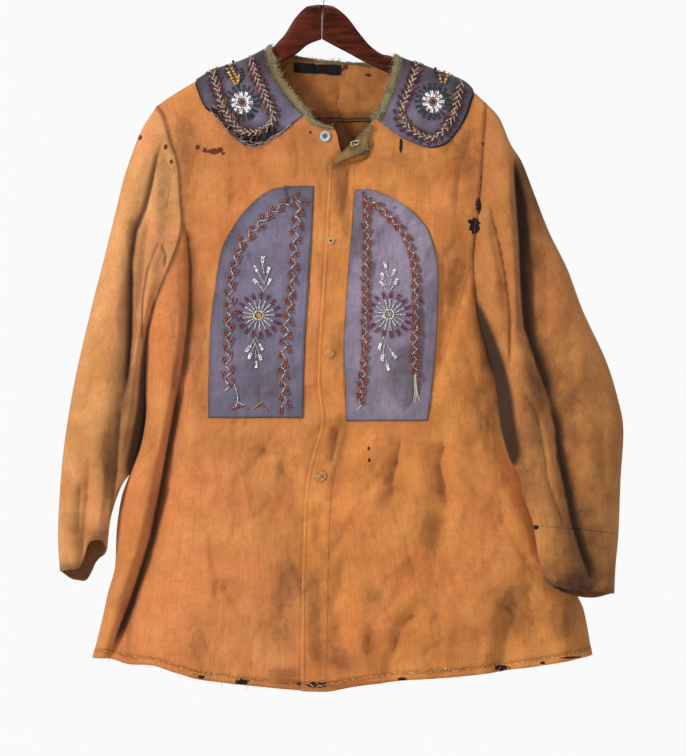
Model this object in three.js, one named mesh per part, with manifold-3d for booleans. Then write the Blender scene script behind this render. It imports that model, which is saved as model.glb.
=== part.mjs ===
// Beaded canvas tunic hanging on a wooden hanger, in millimetres with +Z up.
// The front faces -Y and the wearer's left side is at +X. The origin is the inner top of the hook.
// Every cloth piece is a thin wall: an outer grid of points, and the same grid moved in by its thickness.

import * as THREE from "three";
import { mergeVertices } from "three/addons/utils/BufferGeometryUtils.js";
import Module from "manifold-3d";

const wasm = await Module();
wasm.setup();

// ---- driving dimensions -------------------------------------------------------------------------

const WALL = 1.4; // canvas
const TRIM_WALL = 1.2; // collar, patches, binding and facing
const GAP = 0.3; // between pieces that touch
const TRIM_LIFT = 0.8; // of what lies on a panel, clear of the panel's facets
const ARM_SHIFT = 0.4; // sleeve ring beside the armhole
const CENTRE = 10; // the body's middle plane
const ROLL = 9; // radius of the cloth over the hanger's arms
const SHOULDER_FALL = 110; // drop in which the cloth comes away from the hanger
const CHEST_DEPTH = 40;
const HEM_DEPTH = 66;
const BACK_CHEST_DEPTH = 36;
const BACK_HEM_DEPTH = 58;
const UNDERARM_Z = -509;
const HEM_Z = -1020;
const LAP = 38; // how far the right front runs under the left front
const UNDER_LAP = 2.5; // the under layer's step back
const OVER_LAP = 1.5; // the upper layer's step out

const HANGER_THICKNESS = 14;
const HANGER_EDGE = 4; // rounding of the hanger's edges
const HANGER_JOINT_X = 1;
const HANGER_SEAT = 4.8; // hanger's top below the outside of the cloth
const HOOK_RADIUS = 1.75; // wire
const HOOK_INNER = 19; // inside radius of the hook
const STEM_DEPTH = 15; // in the wood
const WOOD_TOP_Z = -70;

// Fractions of the armhole, shoulder to underarm, at which panels and sleeves have their points.
const ARMHOLE_STEPS = [0, 0.004, 0.016, 0.06, 0.17, 0.32, 0.49, 0.66, 0.81, 0.93, 0.985, 1];
const SKIRT_ROWS = 10; // panel rows below the underarm

// ---- tables -------------------------------------------------------------------------------------

// Top of the cloth, tip to tip. Between the neck points it is only the body's guide.
const SHOULDER = [
  { x: -300, z: -262 }, { x: -232, z: -213.6 }, { x: -205, z: -195 }, { x: -176, z: -178 },
  { x: -148, z: -163 }, { x: -108, z: -149 }, { x: -81, z: -136 }, { x: -70, z: -127.5 },
  { x: 17, z: -100 }, { x: 103, z: -140.5 }, { x: 117, z: -148 }, { x: 148, z: -159 },
  { x: 184, z: -172 }, { x: 204, z: -182 }, { x: 217, z: -195 }, { x: 232, z: -208.6 },
  { x: 300, z: -270 },
];
const NECK_RIGHT_X = -70;
const NECK_LEFT_X = 103;

// Outline of the body at the sides. Above the underarm it goes on inside the sleeve.
const SIDE_RIGHT = [
  { z: -205, x: -300 }, { z: -300, x: -285 }, { z: -400, x: -262 }, { z: -460, x: -250 },
  { z: -509, x: -244 }, { z: -557, x: -247 }, { z: -613, x: -248 }, { z: -650, x: -247.5 },
  { z: -690, x: -254 }, { z: -713, x: -262 }, { z: -745, x: -275 }, { z: -767, x: -282 },
  { z: -809, x: -288 }, { z: -865, x: -291 }, { z: -897, x: -300 }, { z: -938, x: -309 },
  { z: -990, x: -322 },
];
const SIDE_LEFT = [
  { z: -205, x: 310 }, { z: -300, x: 280 }, { z: -400, x: 245 }, { z: -450, x: 229 },
  { z: -491, x: 220 }, { z: -519, x: 224 }, { z: -561, x: 236.5 }, { z: -585, x: 246 },
  { z: -613, x: 256 }, { z: -651, x: 266 }, { z: -700, x: 280 }, { z: -767, x: 308 },
  { z: -851, x: 342 }, { z: -900, x: 360 }, { z: -923, x: 370 }, { z: -986, x: 382 },
];

const ARMHOLE_RIGHT = [
  { z: -213.6, x: -232 }, { z: -222, x: -225 }, { z: -241, x: -218 }, { z: -261, x: -213 },
  { z: -290, x: -203 }, { z: -318, x: -199 }, { z: -350, x: -197 }, { z: -374, x: -195 },
  { z: -405, x: -200 }, { z: -434, x: -211 }, { z: -451, x: -218 }, { z: -497, x: -237 },
  { z: -509, x: -244 },
];
const ARMHOLE_LEFT = [
  { z: -208.6, x: 232 }, { z: -242, x: 230 }, { z: -267, x: 228 }, { z: -329, x: 224 },
  { z: -382, x: 218 }, { z: -434, x: 214 }, { z: -473, x: 217 }, { z: -491, x: 220 },
];

// Front edge of the left front, from the fold of its turned corner to the hem.
const OVERLAP_EDGE = [
  { z: -240, x: 14 }, { z: -300, x: 11 }, { z: -403, x: 6 }, { z: -501, x: 0 }, { z: -599, x: -5 },
  { z: -659, x: 0 }, { z: -697, x: -10 }, { z: -741, x: -20 }, { z: -795, x: -24 },
  { z: -907, x: -27 }, { z: -1031, x: -28 },
];

const HEMLINE = [
  { x: -322, z: -990 }, { x: -297, z: -990 }, { x: -270, z: -997 }, { x: -234, z: -998 },
  { x: -203, z: -1007 }, { x: -169, z: -1016 }, { x: -73, z: -1027 }, { x: 5, z: -1032 },
  { x: 41, z: -1026 }, { x: 105, z: -1018 }, { x: 188, z: -1012 }, { x: 287, z: -1001 },
  { x: 382, z: -986 },
];

// Neck edges: along is 0 at the front edge and 1 at the neck point on the shoulder.
const NECKLINE_RIGHT = [
  { along: 0, x: 27, z: -277 }, { along: 0.16, x: 18, z: -246 }, { along: 0.26, x: 1, z: -241 },
  { along: 0.34, x: -10, z: -235 }, { along: 0.41, x: -19, z: -226 }, { along: 0.5, x: -30, z: -207 },
  { along: 0.62, x: -45, z: -189 }, { along: 0.76, x: -57, z: -171 }, { along: 0.88, x: -64, z: -151 },
  { along: 0.95, x: -69, z: -140 }, { along: 0.98, x: -69.8, z: -134 }, { along: 1, x: -70, z: -127.5 },
];
const NECKLINE_LEFT = [
  { along: 0, x: 11, z: -300 }, { along: 0.25, x: 42, z: -269 }, { along: 0.46, x: 71, z: -238 },
  { along: 0.55, x: 79, z: -223 }, { along: 0.68, x: 89, z: -202 }, { along: 0.78, x: 95, z: -185 },
  { along: 0.88, x: 100, z: -167 }, { along: 0.95, x: 102.4, z: -153 }, { along: 0.98, x: 102.9, z: -147 },
  { along: 1, x: 103, z: -140.5 },
];
const NECKLINE_BACK = [
  { along: 0, x: -70, z: -127.5 }, { along: 0.02, x: -69.8, z: -134 }, { along: 0.05, x: -68.5, z: -140 },
  { along: 0.12, x: -55, z: -143 }, { along: 0.22, x: -35, z: -143.5 }, { along: 0.4, x: 0, z: -147 },
  { along: 0.72, x: 56, z: -152 }, { along: 0.89, x: 90, z: -154 }, { along: 0.95, x: 102, z: -153 },
  { along: 0.98, x: 102.9, z: -147 }, { along: 1, x: 103, z: -140.5 },
];

// Folds, each a soft trough (depth below 0) or ridge from one point to another. Bow moves the middle
// to +X when the fold runs down. Left and right are the widths of its two sides, sharp is how crisp
// its bottom is (2 is round), and fade_in and fade_out are the tapered parts of its length.
const FRONT_FOLDS = [
  { x0: -192, z0: -360, x1: -218, z1: -707, bow: 20,
    left: 15, right: 34, depth: -16, sharp: 1.5, fade_in: 0.35, fade_out: 0 },
  { x0: -218, z0: -707, x1: -300, z1: -1000, bow: 9,
    left: 12, right: 46, depth: -30, sharp: 1.4, fade_in: 0, fade_out: 0 },
  { x0: -238, z0: -560, x1: -262, z1: -760, bow: 10,
    left: 16, right: 18, depth: 9, sharp: 2, fade_in: 0.4, fade_out: 0.3 },
  { x0: -276, z0: -800, x1: -312, z1: -1000, bow: 2,
    left: 16, right: 13, depth: 14, sharp: 2, fade_in: 0.4, fade_out: 0 },
  { x0: 222, z0: -400, x1: 148, z1: -660, bow: -8,
    left: 24, right: 16, depth: -10, sharp: 1.6, fade_in: 0.2, fade_out: 0.5 },
  { x0: 169, z0: -640, x1: 156, z1: -880, bow: 12,
    left: 34, right: 10, depth: -13, sharp: 1.3, fade_in: 0.3, fade_out: 0.5 },
  { x0: 228, z0: -560, x1: 276, z1: -760, bow: -4,
    left: 22, right: 34, depth: -14, sharp: 1.6, fade_in: 0.3, fade_out: 0.4 },
  { x0: 120, z0: -660, x1: 104, z1: -830, bow: -9,
    left: 18, right: 26, depth: -8, sharp: 1.5, fade_in: 0.4, fade_out: 0.5 },
  { x0: 145, z0: -890, x1: 92, z1: -1020, bow: -6,
    left: 20, right: 34, depth: -13, sharp: 1.6, fade_in: 0.5, fade_out: 0 },
  { x0: 284, z0: -880, x1: 248, z1: -1010, bow: -5,
    left: 16, right: 40, depth: -20, sharp: 1.6, fade_in: 0.5, fade_out: 0 },
  { x0: -172, z0: -740, x1: -80, z1: -985, bow: -8,
    left: 40, right: 24, depth: -11, sharp: 1.5, fade_in: 0.4, fade_out: 0.4 },
  { x0: -100, z0: -670, x1: -38, z1: -810, bow: 12,
    left: 26, right: 20, depth: -7, sharp: 1.6, fade_in: 0.5, fade_out: 0.5 },
  { x0: 36, z0: -640, x1: 12, z1: -760, bow: 8,
    left: 16, right: 26, depth: -9, sharp: 1.4, fade_in: 0.4, fade_out: 0.5 },
  { x0: 52, z0: -790, x1: 26, z1: -1000, bow: -10,
    left: 22, right: 30, depth: -10, sharp: 1.6, fade_in: 0.4, fade_out: 0.2 },
  { x0: 330, z0: -880, x1: 346, z1: -1000, bow: 4,
    left: 14, right: 16, depth: 9, sharp: 2, fade_in: 0.5, fade_out: 0 },
];
const BACK_FOLDS = [
  { x0: -206, z0: -400, x1: -232, z1: -1010, bow: 16,
    left: 26, right: 40, depth: -20, sharp: 1.6, fade_in: 0.4, fade_out: 0 },
  { x0: -96, z0: -300, x1: -118, z1: -1030, bow: -12,
    left: 46, right: 34, depth: -15, sharp: 1.7, fade_in: 0.5, fade_out: 0 },
  { x0: 14, z0: -520, x1: 2, z1: -1040, bow: 10,
    left: 34, right: 44, depth: -13, sharp: 1.7, fade_in: 0.5, fade_out: 0 },
  { x0: 118, z0: -280, x1: 142, z1: -1030, bow: 14,
    left: 34, right: 46, depth: -17, sharp: 1.6, fade_in: 0.4, fade_out: 0 },
  { x0: 206, z0: -430, x1: 268, z1: -1010, bow: 12,
    left: 30, right: 34, depth: -20, sharp: 1.5, fade_in: 0.3, fade_out: 0 },
];
const SLEEVE_RIGHT_FOLDS = [
  { x0: -230, z0: -250, x1: -267, z1: -560, bow: 4,
    left: 14, right: 16, depth: -17, sharp: 1.5, fade_in: 0.2, fade_out: 0 },
  { x0: -267, z0: -560, x1: -302, z1: -815, bow: 3,
    left: 14, right: 20, depth: -13, sharp: 1.5, fade_in: 0, fade_out: 0.4 },
  { x0: -323, z0: -690, x1: -340, z1: -880, bow: 3,
    left: 8, right: 12, depth: -14, sharp: 1.4, fade_in: 0.4, fade_out: 0 },
];
const SLEEVE_LEFT_FOLDS = [
  { x0: 266, z0: -262, x1: 297, z1: -560, bow: 3,
    left: 11, right: 30, depth: -19, sharp: 1.5, fade_in: 0.3, fade_out: 0 },
  { x0: 297, z0: -560, x1: 340, z1: -816, bow: -10,
    left: 11, right: 28, depth: -19, sharp: 1.5, fade_in: 0, fade_out: 0 },
  { x0: 340, z0: -816, x1: 372, z1: -900, bow: 2,
    left: 11, right: 20, depth: -16, sharp: 1.5, fade_in: 0, fade_out: 0 },
  { x0: 230, z0: -345, x1: 274, z1: -610, bow: 4,
    left: 7, right: 12, depth: -9, sharp: 1.4, fade_in: 0.3, fade_out: 0.4 },
];
const SLEEVE_BACK_FOLDS_RIGHT = [
  { x0: -246, z0: -300, x1: -296, z1: -600, bow: -4,
    left: 16, right: 14, depth: -12, sharp: 1.6, fade_in: 0.4, fade_out: 0.4 },
  { x0: -296, z0: -580, x1: -326, z1: -860, bow: 3,
    left: 14, right: 16, depth: -10, sharp: 1.6, fade_in: 0.4, fade_out: 0 },
];
const SLEEVE_BACK_FOLDS_LEFT = [
  { x0: 256, z0: -290, x1: 330, z1: -600, bow: -4,
    left: 18, right: 16, depth: -13, sharp: 1.6, fade_in: 0.4, fade_out: 0.3 },
  { x0: 350, z0: -560, x1: 374, z1: -890, bow: 4,
    left: 16, right: 18, depth: -10, sharp: 1.6, fade_in: 0.4, fade_out: 0 },
];

// Sleeve sections from the armhole to the end: the outer and inner edge lines of the hanging tube,
// how far in front of or behind the shoulder they lie, and half the tube's thickness.
const SLEEVE_RIGHT = [
  { outer_x: -232, outer_z: -213.6, inner_x: -244, inner_z: -509, outer_y: 0, inner_y: 0, half: 30 },
  { outer_x: -254, outer_z: -249, inner_x: -246.5, inner_z: -522, outer_y: -2, inner_y: -3, half: 31 },
  { outer_x: -276, outer_z: -309, inner_x: -248.5, inner_z: -550, outer_y: -3, inner_y: -6, half: 32 },
  { outer_x: -288, outer_z: -357, inner_x: -249.5, inner_z: -578, outer_y: -4, inner_y: -8, half: 32 },
  { outer_x: -307, outer_z: -434, inner_x: -249.5, inner_z: -613, outer_y: -5, inner_y: -10, half: 31 },
  { outer_x: -324, outer_z: -501, inner_x: -249, inner_z: -651, outer_y: -6, inner_y: -12, half: 30 },
  { outer_x: -342, outer_z: -578, inner_x: -258, inner_z: -686, outer_y: -7, inner_y: -14, half: 29 },
  { outer_x: -354, outer_z: -641, inner_x: -269, inner_z: -718, outer_y: -8, inner_y: -15, half: 27 },
  { outer_x: -363, outer_z: -704, inner_x: -281, inner_z: -750, outer_y: -9, inner_y: -16, half: 25 },
  { outer_x: -368, outer_z: -767, inner_x: -290, inner_z: -778, outer_y: -10, inner_y: -17, half: 23 },
  { outer_x: -370, outer_z: -823, inner_x: -296, inner_z: -802, outer_y: -11, inner_y: -18, half: 22 },
  { outer_x: -367, outer_z: -866, inner_x: -300, inner_z: -836, outer_y: -12, inner_y: -19, half: 21 },
];
const SLEEVE_LEFT = [
  { outer_x: 232, outer_z: -208.6, inner_x: 220, inner_z: -491, outer_y: 0, inner_y: 0, half: 30 },
  { outer_x: 251, outer_z: -230, inner_x: 224, inner_z: -508, outer_y: -2, inner_y: -8, half: 31 },
  { outer_x: 267, outer_z: -267, inner_x: 231, inner_z: -533, outer_y: -3, inner_y: -14, half: 32 },
  { outer_x: 283, outer_z: -293, inner_x: 238, inner_z: -553, outer_y: -4, inner_y: -19, half: 32 },
  { outer_x: 300, outer_z: -337, inner_x: 248, inner_z: -580, outer_y: -5, inner_y: -25, half: 31 },
  { outer_x: 321, outer_z: -391, inner_x: 256, inner_z: -606, outer_y: -6, inner_y: -31, half: 30 },
  { outer_x: 347, outer_z: -444, inner_x: 262, inner_z: -638, outer_y: -7, inner_y: -37, half: 30 },
  { outer_x: 368, outer_z: -501, inner_x: 266, inner_z: -673, outer_y: -8, inner_y: -42, half: 29 },
  { outer_x: 400, outer_z: -570, inner_x: 272, inner_z: -708, outer_y: -9, inner_y: -47, half: 28 },
  { outer_x: 417, outer_z: -624, inner_x: 276, inner_z: -732, outer_y: -10, inner_y: -50, half: 27 },
  { outer_x: 425, outer_z: -669, inner_x: 280, inner_z: -756, outer_y: -11, inner_y: -52, half: 26 },
  { outer_x: 421, outer_z: -739, inner_x: 287, inner_z: -778, outer_y: -12, inner_y: -54, half: 25 },
  { outer_x: 418, outer_z: -815, inner_x: 295, inner_z: -801, outer_y: -13, inner_y: -55, half: 24 },
  { outer_x: 414, outer_z: -858, inner_x: 304, inner_z: -851, outer_y: -14, inner_y: -57, half: 23 },
  { outer_x: 412, outer_z: -899, inner_x: 316, inner_z: -883, outer_y: -15, inner_y: -58, half: 22 },
];
const CUFF_SEAM = 12; // the left sleeve's section at which its end band begins
const SEAM_SHARE = 0.003; // of a section, half the gap at that seam

// Height of the sleeve ends' front and back edges, outer edge to inner edge.
const END_RIGHT = [
  { along: 0, front: -868, back: -868 }, { along: 0.2, front: -863, back: -879 },
  { along: 0.42, front: -855, back: -882 }, { along: 0.52, front: -834, back: -882 },
  { along: 0.65, front: -824, back: -880 }, { along: 0.82, front: -823, back: -858 },
  { along: 0.94, front: -826, back: -846 }, { along: 1, front: -836, back: -836 },
];
const END_LEFT = [
  { along: 0, front: -899, back: -899 }, { along: 0.3, front: -894, back: -905 },
  { along: 0.7, front: -890, back: -899 }, { along: 1, front: -883, back: -883 },
];

// Neck trim on the body, row by row from the front to the centre back. Edge is the neckline, seam is
// where the binding ends and the collar begins, outer is the collar's outer edge. Rows on the back
// have back: true.
const TRIM_RIGHT = [
  { seam_x: -25, seam_z: -228, outer_x: -41, outer_z: -242, edge_x: -18, edge_z: -224 },
  { seam_x: -34, seam_z: -220, outer_x: -74, outer_z: -265, edge_x: -26, edge_z: -214 },
  { seam_x: -42, seam_z: -211, outer_x: -106, outer_z: -272, edge_x: -34, edge_z: -203 },
  { seam_x: -50, seam_z: -201, outer_x: -124, outer_z: -259, edge_x: -43, edge_z: -191 },
  { seam_x: -57, seam_z: -191, outer_x: -141, outer_z: -240, edge_x: -51, edge_z: -181 },
  { seam_x: -65, seam_z: -178, outer_x: -162, outer_z: -217, edge_x: -57, edge_z: -171 },
  { seam_x: -72, seam_z: -163, outer_x: -172, outer_z: -196, edge_x: -63, edge_z: -154 },
  { seam_x: -79, seam_z: -134.5, outer_x: -176, outer_z: -178, edge_x: -70.5, edge_z: -128 },
  { seam_x: -70, seam_z: -146, outer_x: -170, outer_z: -204, edge_x: -63, edge_z: -135, back: true },
  { seam_x: -52, seam_z: -150, outer_x: -146, outer_z: -232, edge_x: -48, edge_z: -140, back: true },
  { seam_x: -28, seam_z: -154, outer_x: -96, outer_z: -252, edge_x: -26, edge_z: -144, back: true },
  { seam_x: -4, seam_z: -157, outer_x: -38, outer_z: -262, edge_x: -3, edge_z: -147, back: true },
  { seam_x: 16.8, seam_z: -159, outer_x: 16.8, outer_z: -266, edge_x: 16.8, edge_z: -149, back: true },
];
const TRIM_LEFT = [
  { seam_x: 84, seam_z: -237, outer_x: 96, outer_z: -249, edge_x: 73, edge_z: -234 },
  { seam_x: 88, seam_z: -228, outer_x: 122, outer_z: -264, edge_x: 79, edge_z: -224 },
  { seam_x: 93, seam_z: -218, outer_x: 152, outer_z: -274, edge_x: 84, edge_z: -213 },
  { seam_x: 98, seam_z: -207, outer_x: 174, outer_z: -269, edge_x: 89, edge_z: -202 },
  { seam_x: 103, seam_z: -195, outer_x: 190, outer_z: -252, edge_x: 94, edge_z: -189 },
  { seam_x: 107, seam_z: -181, outer_x: 203, outer_z: -231, edge_x: 98, edge_z: -176 },
  { seam_x: 111, seam_z: -165, outer_x: 211, outer_z: -208, edge_x: 101, edge_z: -161 },
  { seam_x: 113, seam_z: -146.5, outer_x: 214, outer_z: -192, edge_x: 104, edge_z: -141.5 },
  { seam_x: 108, seam_z: -157, outer_x: 206, outer_z: -216, edge_x: 99, edge_z: -147, back: true },
  { seam_x: 90, seam_z: -161, outer_x: 178, outer_z: -240, edge_x: 86, edge_z: -151, back: true },
  { seam_x: 66, seam_z: -163, outer_x: 130, outer_z: -257, edge_x: 64, edge_z: -153, back: true },
  { seam_x: 40, seam_z: -162, outer_x: 74, outer_z: -265, edge_x: 39, edge_z: -151, back: true },
  { seam_x: 17.2, seam_z: -159, outer_x: 17.2, outer_z: -266, edge_x: 17.2, edge_z: -149, back: true },
];
// The right front's binding goes on past the collar to the front edge.
const TRIM_RIGHT_END = [
  { seam_x: 17, seam_z: -250, edge_x: 17.5, edge_z: -247 },
  { seam_x: 0, seam_z: -246.5, edge_x: 1, edge_z: -242 },
  { seam_x: -13, seam_z: -242, edge_x: -10, edge_z: -236 },
];

// Chest patches, top to bottom: outer edge towards the arm, inner edge towards the closing.
const PATCH_RIGHT = [
  { z: -328, outer: -48, inner: -10 }, { z: -333, outer: -68, inner: -10 },
  { z: -344, outer: -87, inner: -10.5 },
  { z: -359, outer: -103, inner: -11 }, { z: -378, outer: -118, inner: -12 },
  { z: -414, outer: -138, inner: -14 },
  { z: -462, outer: -147, inner: -17 }, { z: -522, outer: -154, inner: -21 },
  { z: -594, outer: -157, inner: -24 },
  { z: -652, outer: -157, inner: -25 },
];
const PATCH_LEFT = [
  { z: -333, outer: 71, inner: 48 }, { z: -342, outer: 94, inner: 47 }, { z: -354, outer: 116, inner: 46 },
  { z: -369, outer: 134, inner: 45 }, { z: -388, outer: 149, inner: 43 }, { z: -421, outer: 160, inner: 40 },
  { z: -462, outer: 164, inner: 37 }, { z: -546, outer: 161, inner: 32 }, { z: -619, outer: 154, inner: 34 },
  { z: -656, outer: 149, inner: 35 },
];

// Corner of the left front turned outwards: the fold from the front edge to the neck, and its free edge.
const CORNER = [
  { fold_x: 15, fold_z: -295, free_x: 22, free_z: -296 },
  { fold_x: 28, fold_z: -282, free_x: 42, free_z: -289 },
  { fold_x: 42, fold_z: -268, free_x: 62, free_z: -281 },
  { fold_x: 56, fold_z: -253, free_x: 67, free_z: -262 },
  { fold_x: 69, fold_z: -241, free_x: 71, free_z: -244 },
];

// Inside neck facing on the back, top to bottom.
const FACING = [
  { z: -150, left: -46, right: 84 }, { z: -166, left: -62, right: 96 }, { z: -186, left: -76, right: 108 },
  { z: -210, left: -86, right: 116 }, { z: -233, left: -90, right: 120 },
];
const LABEL_WALL = 1;
const LABEL_STEPS = [0, 0.33, 0.67, 1];
const LABEL = { x0: -38, x1: 28, top: -152, bottom: -166, tilt: -0.05 };

const HANGER_RIGHT_TOP = [
  { x: -22, z: -74 }, { x: -38, z: -91 }, { x: -51, z: -112 }, { x: -61, z: -123 }, { x: -69, z: -131.8 },
];
const HANGER_RIGHT_UNDER = [
  { x: -222, z: -232 }, { x: -190, z: -212 }, { x: -150, z: -191 }, { x: -108, z: -174 }, { x: -62, z: -153 },
  { x: -35, z: -140 }, { x: -19, z: -127 },
];
const HANGER_LEFT_TOP = [
  { x: 20, z: -74 }, { x: 37, z: -88 }, { x: 53, z: -109 }, { x: 69, z: -128 }, { x: 85, z: -139.5 },
  { x: 98, z: -142.5 },
];
const HANGER_LEFT_UNDER = [
  { x: 208, z: -219 }, { x: 180, z: -205 }, { x: 140, z: -187 }, { x: 100, z: -169 }, { x: 61, z: -151 },
  { x: 37, z: -138 }, { x: 16, z: -127 },
];
const HANGER_CENTRE_UNDER_Z = -119;
const HANGER_RIGHT_TIP = -227;
const HANGER_LEFT_TIP = 214;

// ---- curves and surfaces ------------------------------------------------------------------------

const lerp = THREE.MathUtils.lerp;

function ease(value) {
  const t = THREE.MathUtils.clamp(value, 0, 1);
  return t * t * (3 - 2 * t);
}

// Smooth curve through a table: column `to` where column `from` has the value.
function read(table, from, to, value) {
  const way = Math.sign(table.at(-1)[from] - table[0][from]);
  const last = table.length - 1;
  const found = table.findIndex((row) => (row[from] - value) * way > 0);
  const k = found < 0 ? last : Math.max(found, 1);
  const slope = (i) => {
    const a = table[Math.max(i - 1, 0)];
    const b = table[Math.min(i + 1, last)];
    return (b[to] - a[to]) / (b[from] - a[from]);
  };
  const start = table[k - 1];
  const end = table[k];
  const span = end[from] - start[from];
  const t = THREE.MathUtils.clamp((value - start[from]) / span, 0, 1);
  const rise = t * t * (3 - 2 * t);
  return start[to] * (1 - rise) + end[to] * rise
    + span * (slope(k - 1) * t * (1 - t) ** 2 - slope(k) * t * t * (1 - t));
}

const shoulderZ = (x) => read(SHOULDER, "x", "z", x);

function foldsAt(folds, x, z) {
  let sum = 0;
  for (const fold of folds) {
    const length = Math.hypot(fold.x1 - fold.x0, fold.z1 - fold.z0);
    const wayX = (fold.x1 - fold.x0) / length;
    const wayZ = (fold.z1 - fold.z0) / length;
    const t = ((x - fold.x0) * wayX + (z - fold.z0) * wayZ) / length;
    const inside = THREE.MathUtils.clamp(t, 0, 1);
    const across = (fold.z0 - z) * -wayX - (x - fold.x0) * wayZ - fold.bow * 4 * inside * (1 - inside);
    const width = across < 0 ? fold.left : fold.right;
    const start = fold.fade_in > 0 ? ease(t / fold.fade_in) : ease(1 + t * 6);
    const end = fold.fade_out > 0 ? ease((1 - t) / fold.fade_out) : ease(1 + (1 - t) * 6);
    sum += fold.depth * Math.exp(-((Math.abs(across) / width) ** fold.sharp)) * start * end;
  }
  return sum;
}

// 0 on the body's middle plane, 1 at its side.
function reachOf(x, z) {
  const side = x < CENTRE ? read(SIDE_RIGHT, "z", "x", z) : read(SIDE_LEFT, "z", "x", z);
  return Math.min((x - CENTRE) / (side - CENTRE), 1);
}

// Distance of the body's outside from the hanger's plane: the roll over the hanger, the fullness that
// grows below it, the rounding to the side seams and the folds.
function bodyDepth(x, z, chest, hem, folds) {
  const drop = Math.max(shoulderZ(x) - z, 0);
  const reach = reachOf(x, z);
  const roll = ROLL * Math.sqrt(1 - (1 - Math.min(drop / ROLL, 1)) ** 2);
  const fullness = lerp(chest, hem, ease((z - UNDERARM_Z) / (HEM_Z - UNDERARM_Z))) - ROLL;
  const fall = 1 - Math.exp(-drop / SHOULDER_FALL);
  const round = roll * Math.sqrt(1 - reach ** 8) + fullness * fall * Math.sqrt(1 - reach ** 2.6);
  const creases = foldsAt(folds, x, z) * ease(drop / 80) * (1 - reach ** 6);
  return Math.max(round + creases, Math.min(round, 6));
}

const frontDepth = (x, z) => bodyDepth(x, z, CHEST_DEPTH, HEM_DEPTH, FRONT_FOLDS);
const backDepth = (x, z) => bodyDepth(x, z, BACK_CHEST_DEPTH, BACK_HEM_DEPTH, BACK_FOLDS);

// Step of the fronts where one laps over the other.
function underLap(x, z) {
  const edge = read(OVERLAP_EDGE, "z", "x", z);
  return -UNDER_LAP * ease((x - edge + 36) / 36);
}

function overLap(x, z) {
  const edge = read(OVERLAP_EDGE, "z", "x", z);
  return OVER_LAP * ease((edge + LAP + 40 - x) / 40);
}

const SURFACES = {
  right: { side: -1, depth: (x, z) => frontDepth(x, z) + underLap(x, z) },
  left: { side: -1, depth: (x, z) => frontDepth(x, z) + overLap(x, z) },
  back: { side: 1, depth: backDepth },
};

// Outward normal of a body surface, from its slopes. On the line where front and back meet it has no
// share along Y, so that their seam faces lie flat to each other.
function normalOn(surface, x, z) {
  const step = 0.4;
  const top = shoulderZ(x);
  const slopeX = (surface.depth(x + step, z) - surface.depth(x - step, z)) / (2 * step);
  const low = Math.min(z, top) - step;
  const high = Math.min(z + step, top);
  const slopeZ = (surface.depth(x, high) - surface.depth(x, low)) / (high - low);
  const normal = new THREE.Vector3(-slopeX, surface.side, -slopeZ);
  if (surface.depth(x, z) < GAP) {
    normal.y = 0;
  }
  return normal.normalize();
}

// Point of a body surface at (x, z), moved out along its normal.
function pointOn(surface, x, z, lift) {
  const height = Math.min(z, shoulderZ(x));
  const point = new THREE.Vector3(x, surface.side * (surface.depth(x, height) + GAP / 2), height);
  return point.addScaledVector(normalOn(surface, x, height), lift);
}

// Coons patch between four edges, each a function of 0..1 that gives {x, z}. Its columns leave the top
// edge aslant, so that they don't run along the neckline.
function coons(top, bottom, left, right) {
  return (u, v) => {
    const blend = (axis, t) => lerp(top(u)[axis], bottom(u)[axis], t) + lerp(left(v)[axis], right(v)[axis], u)
      - lerp(lerp(top(0)[axis], top(1)[axis], u), lerp(bottom(0)[axis], bottom(1)[axis], u), t);
    return { x: blend("x", Math.sqrt(v)), z: blend("z", v) };
  };
}

// ---- solids -------------------------------------------------------------------------------------

// Normals of a tube of points, one ring a row.
function tubeNormals(grid) {
  const columns = grid[0].length;
  const column = (row, j) => row[(j + columns) % columns];
  return grid.map((row, i) => row.map((_, j) => {
    const along = new THREE.Vector3().subVectors(column(row, j + 1), column(row, j - 1));
    const above = grid[Math.max(i - 1, 0)][j];
    const below = grid[Math.min(i + 1, grid.length - 1)][j];
    return along.cross(new THREE.Vector3().subVectors(below, above)).normalize();
  }));
}

const moved = (grid, normals, distance) => grid.map(
  (row, i) => row.map((point, j) => point.clone().addScaledVector(normals[i][j], distance)));

// Closed solid between two grids of the same size.
function between(outer, inner, wraps) {
  const rows = outer.length;
  const columns = outer[0].length;
  const points = [...outer.flat(), ...inner.flat()];
  const half = rows * columns;
  const at = (i, j) => i * columns + (j % columns);
  const faces = [];
  const quad = (a, b, c, d) => faces.push([a, b, c], [a, c, d]);
  const lastColumn = wraps ? columns : columns - 1;
  for (let i = 0; i < rows - 1; i += 1) {
    for (let j = 0; j < lastColumn; j += 1) {
      quad(at(i, j), at(i + 1, j), at(i + 1, j + 1), at(i, j + 1));
      quad(half + at(i, j), half + at(i, j + 1), half + at(i + 1, j + 1), half + at(i + 1, j));
    }
  }
  for (let j = 0; j < lastColumn; j += 1) {
    quad(at(0, j), at(0, j + 1), half + at(0, j + 1), half + at(0, j));
    quad(at(rows - 1, j + 1), at(rows - 1, j), half + at(rows - 1, j), half + at(rows - 1, j + 1));
  }
  if (!wraps) {
    for (let i = 0; i < rows - 1; i += 1) {
      quad(at(i + 1, 0), at(i, 0), half + at(i, 0), half + at(i + 1, 0));
      const end = columns - 1;
      quad(at(i, end), at(i + 1, end), half + at(i + 1, end), half + at(i, end));
    }
  }
  let volume = 0;
  for (const [a, b, c] of faces) {
    volume += points[a].dot(new THREE.Vector3().crossVectors(points[b], points[c]));
  }
  const outward = volume > 0 ? faces : faces.map(([a, b, c]) => [a, c, b]);
  const geometry = new THREE.BufferGeometry();
  geometry.setAttribute("position", new THREE.Float32BufferAttribute(points.flatMap((p) => p.toArray()), 3));
  geometry.setIndex(outward.flat());
  return geometry;
}

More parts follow.
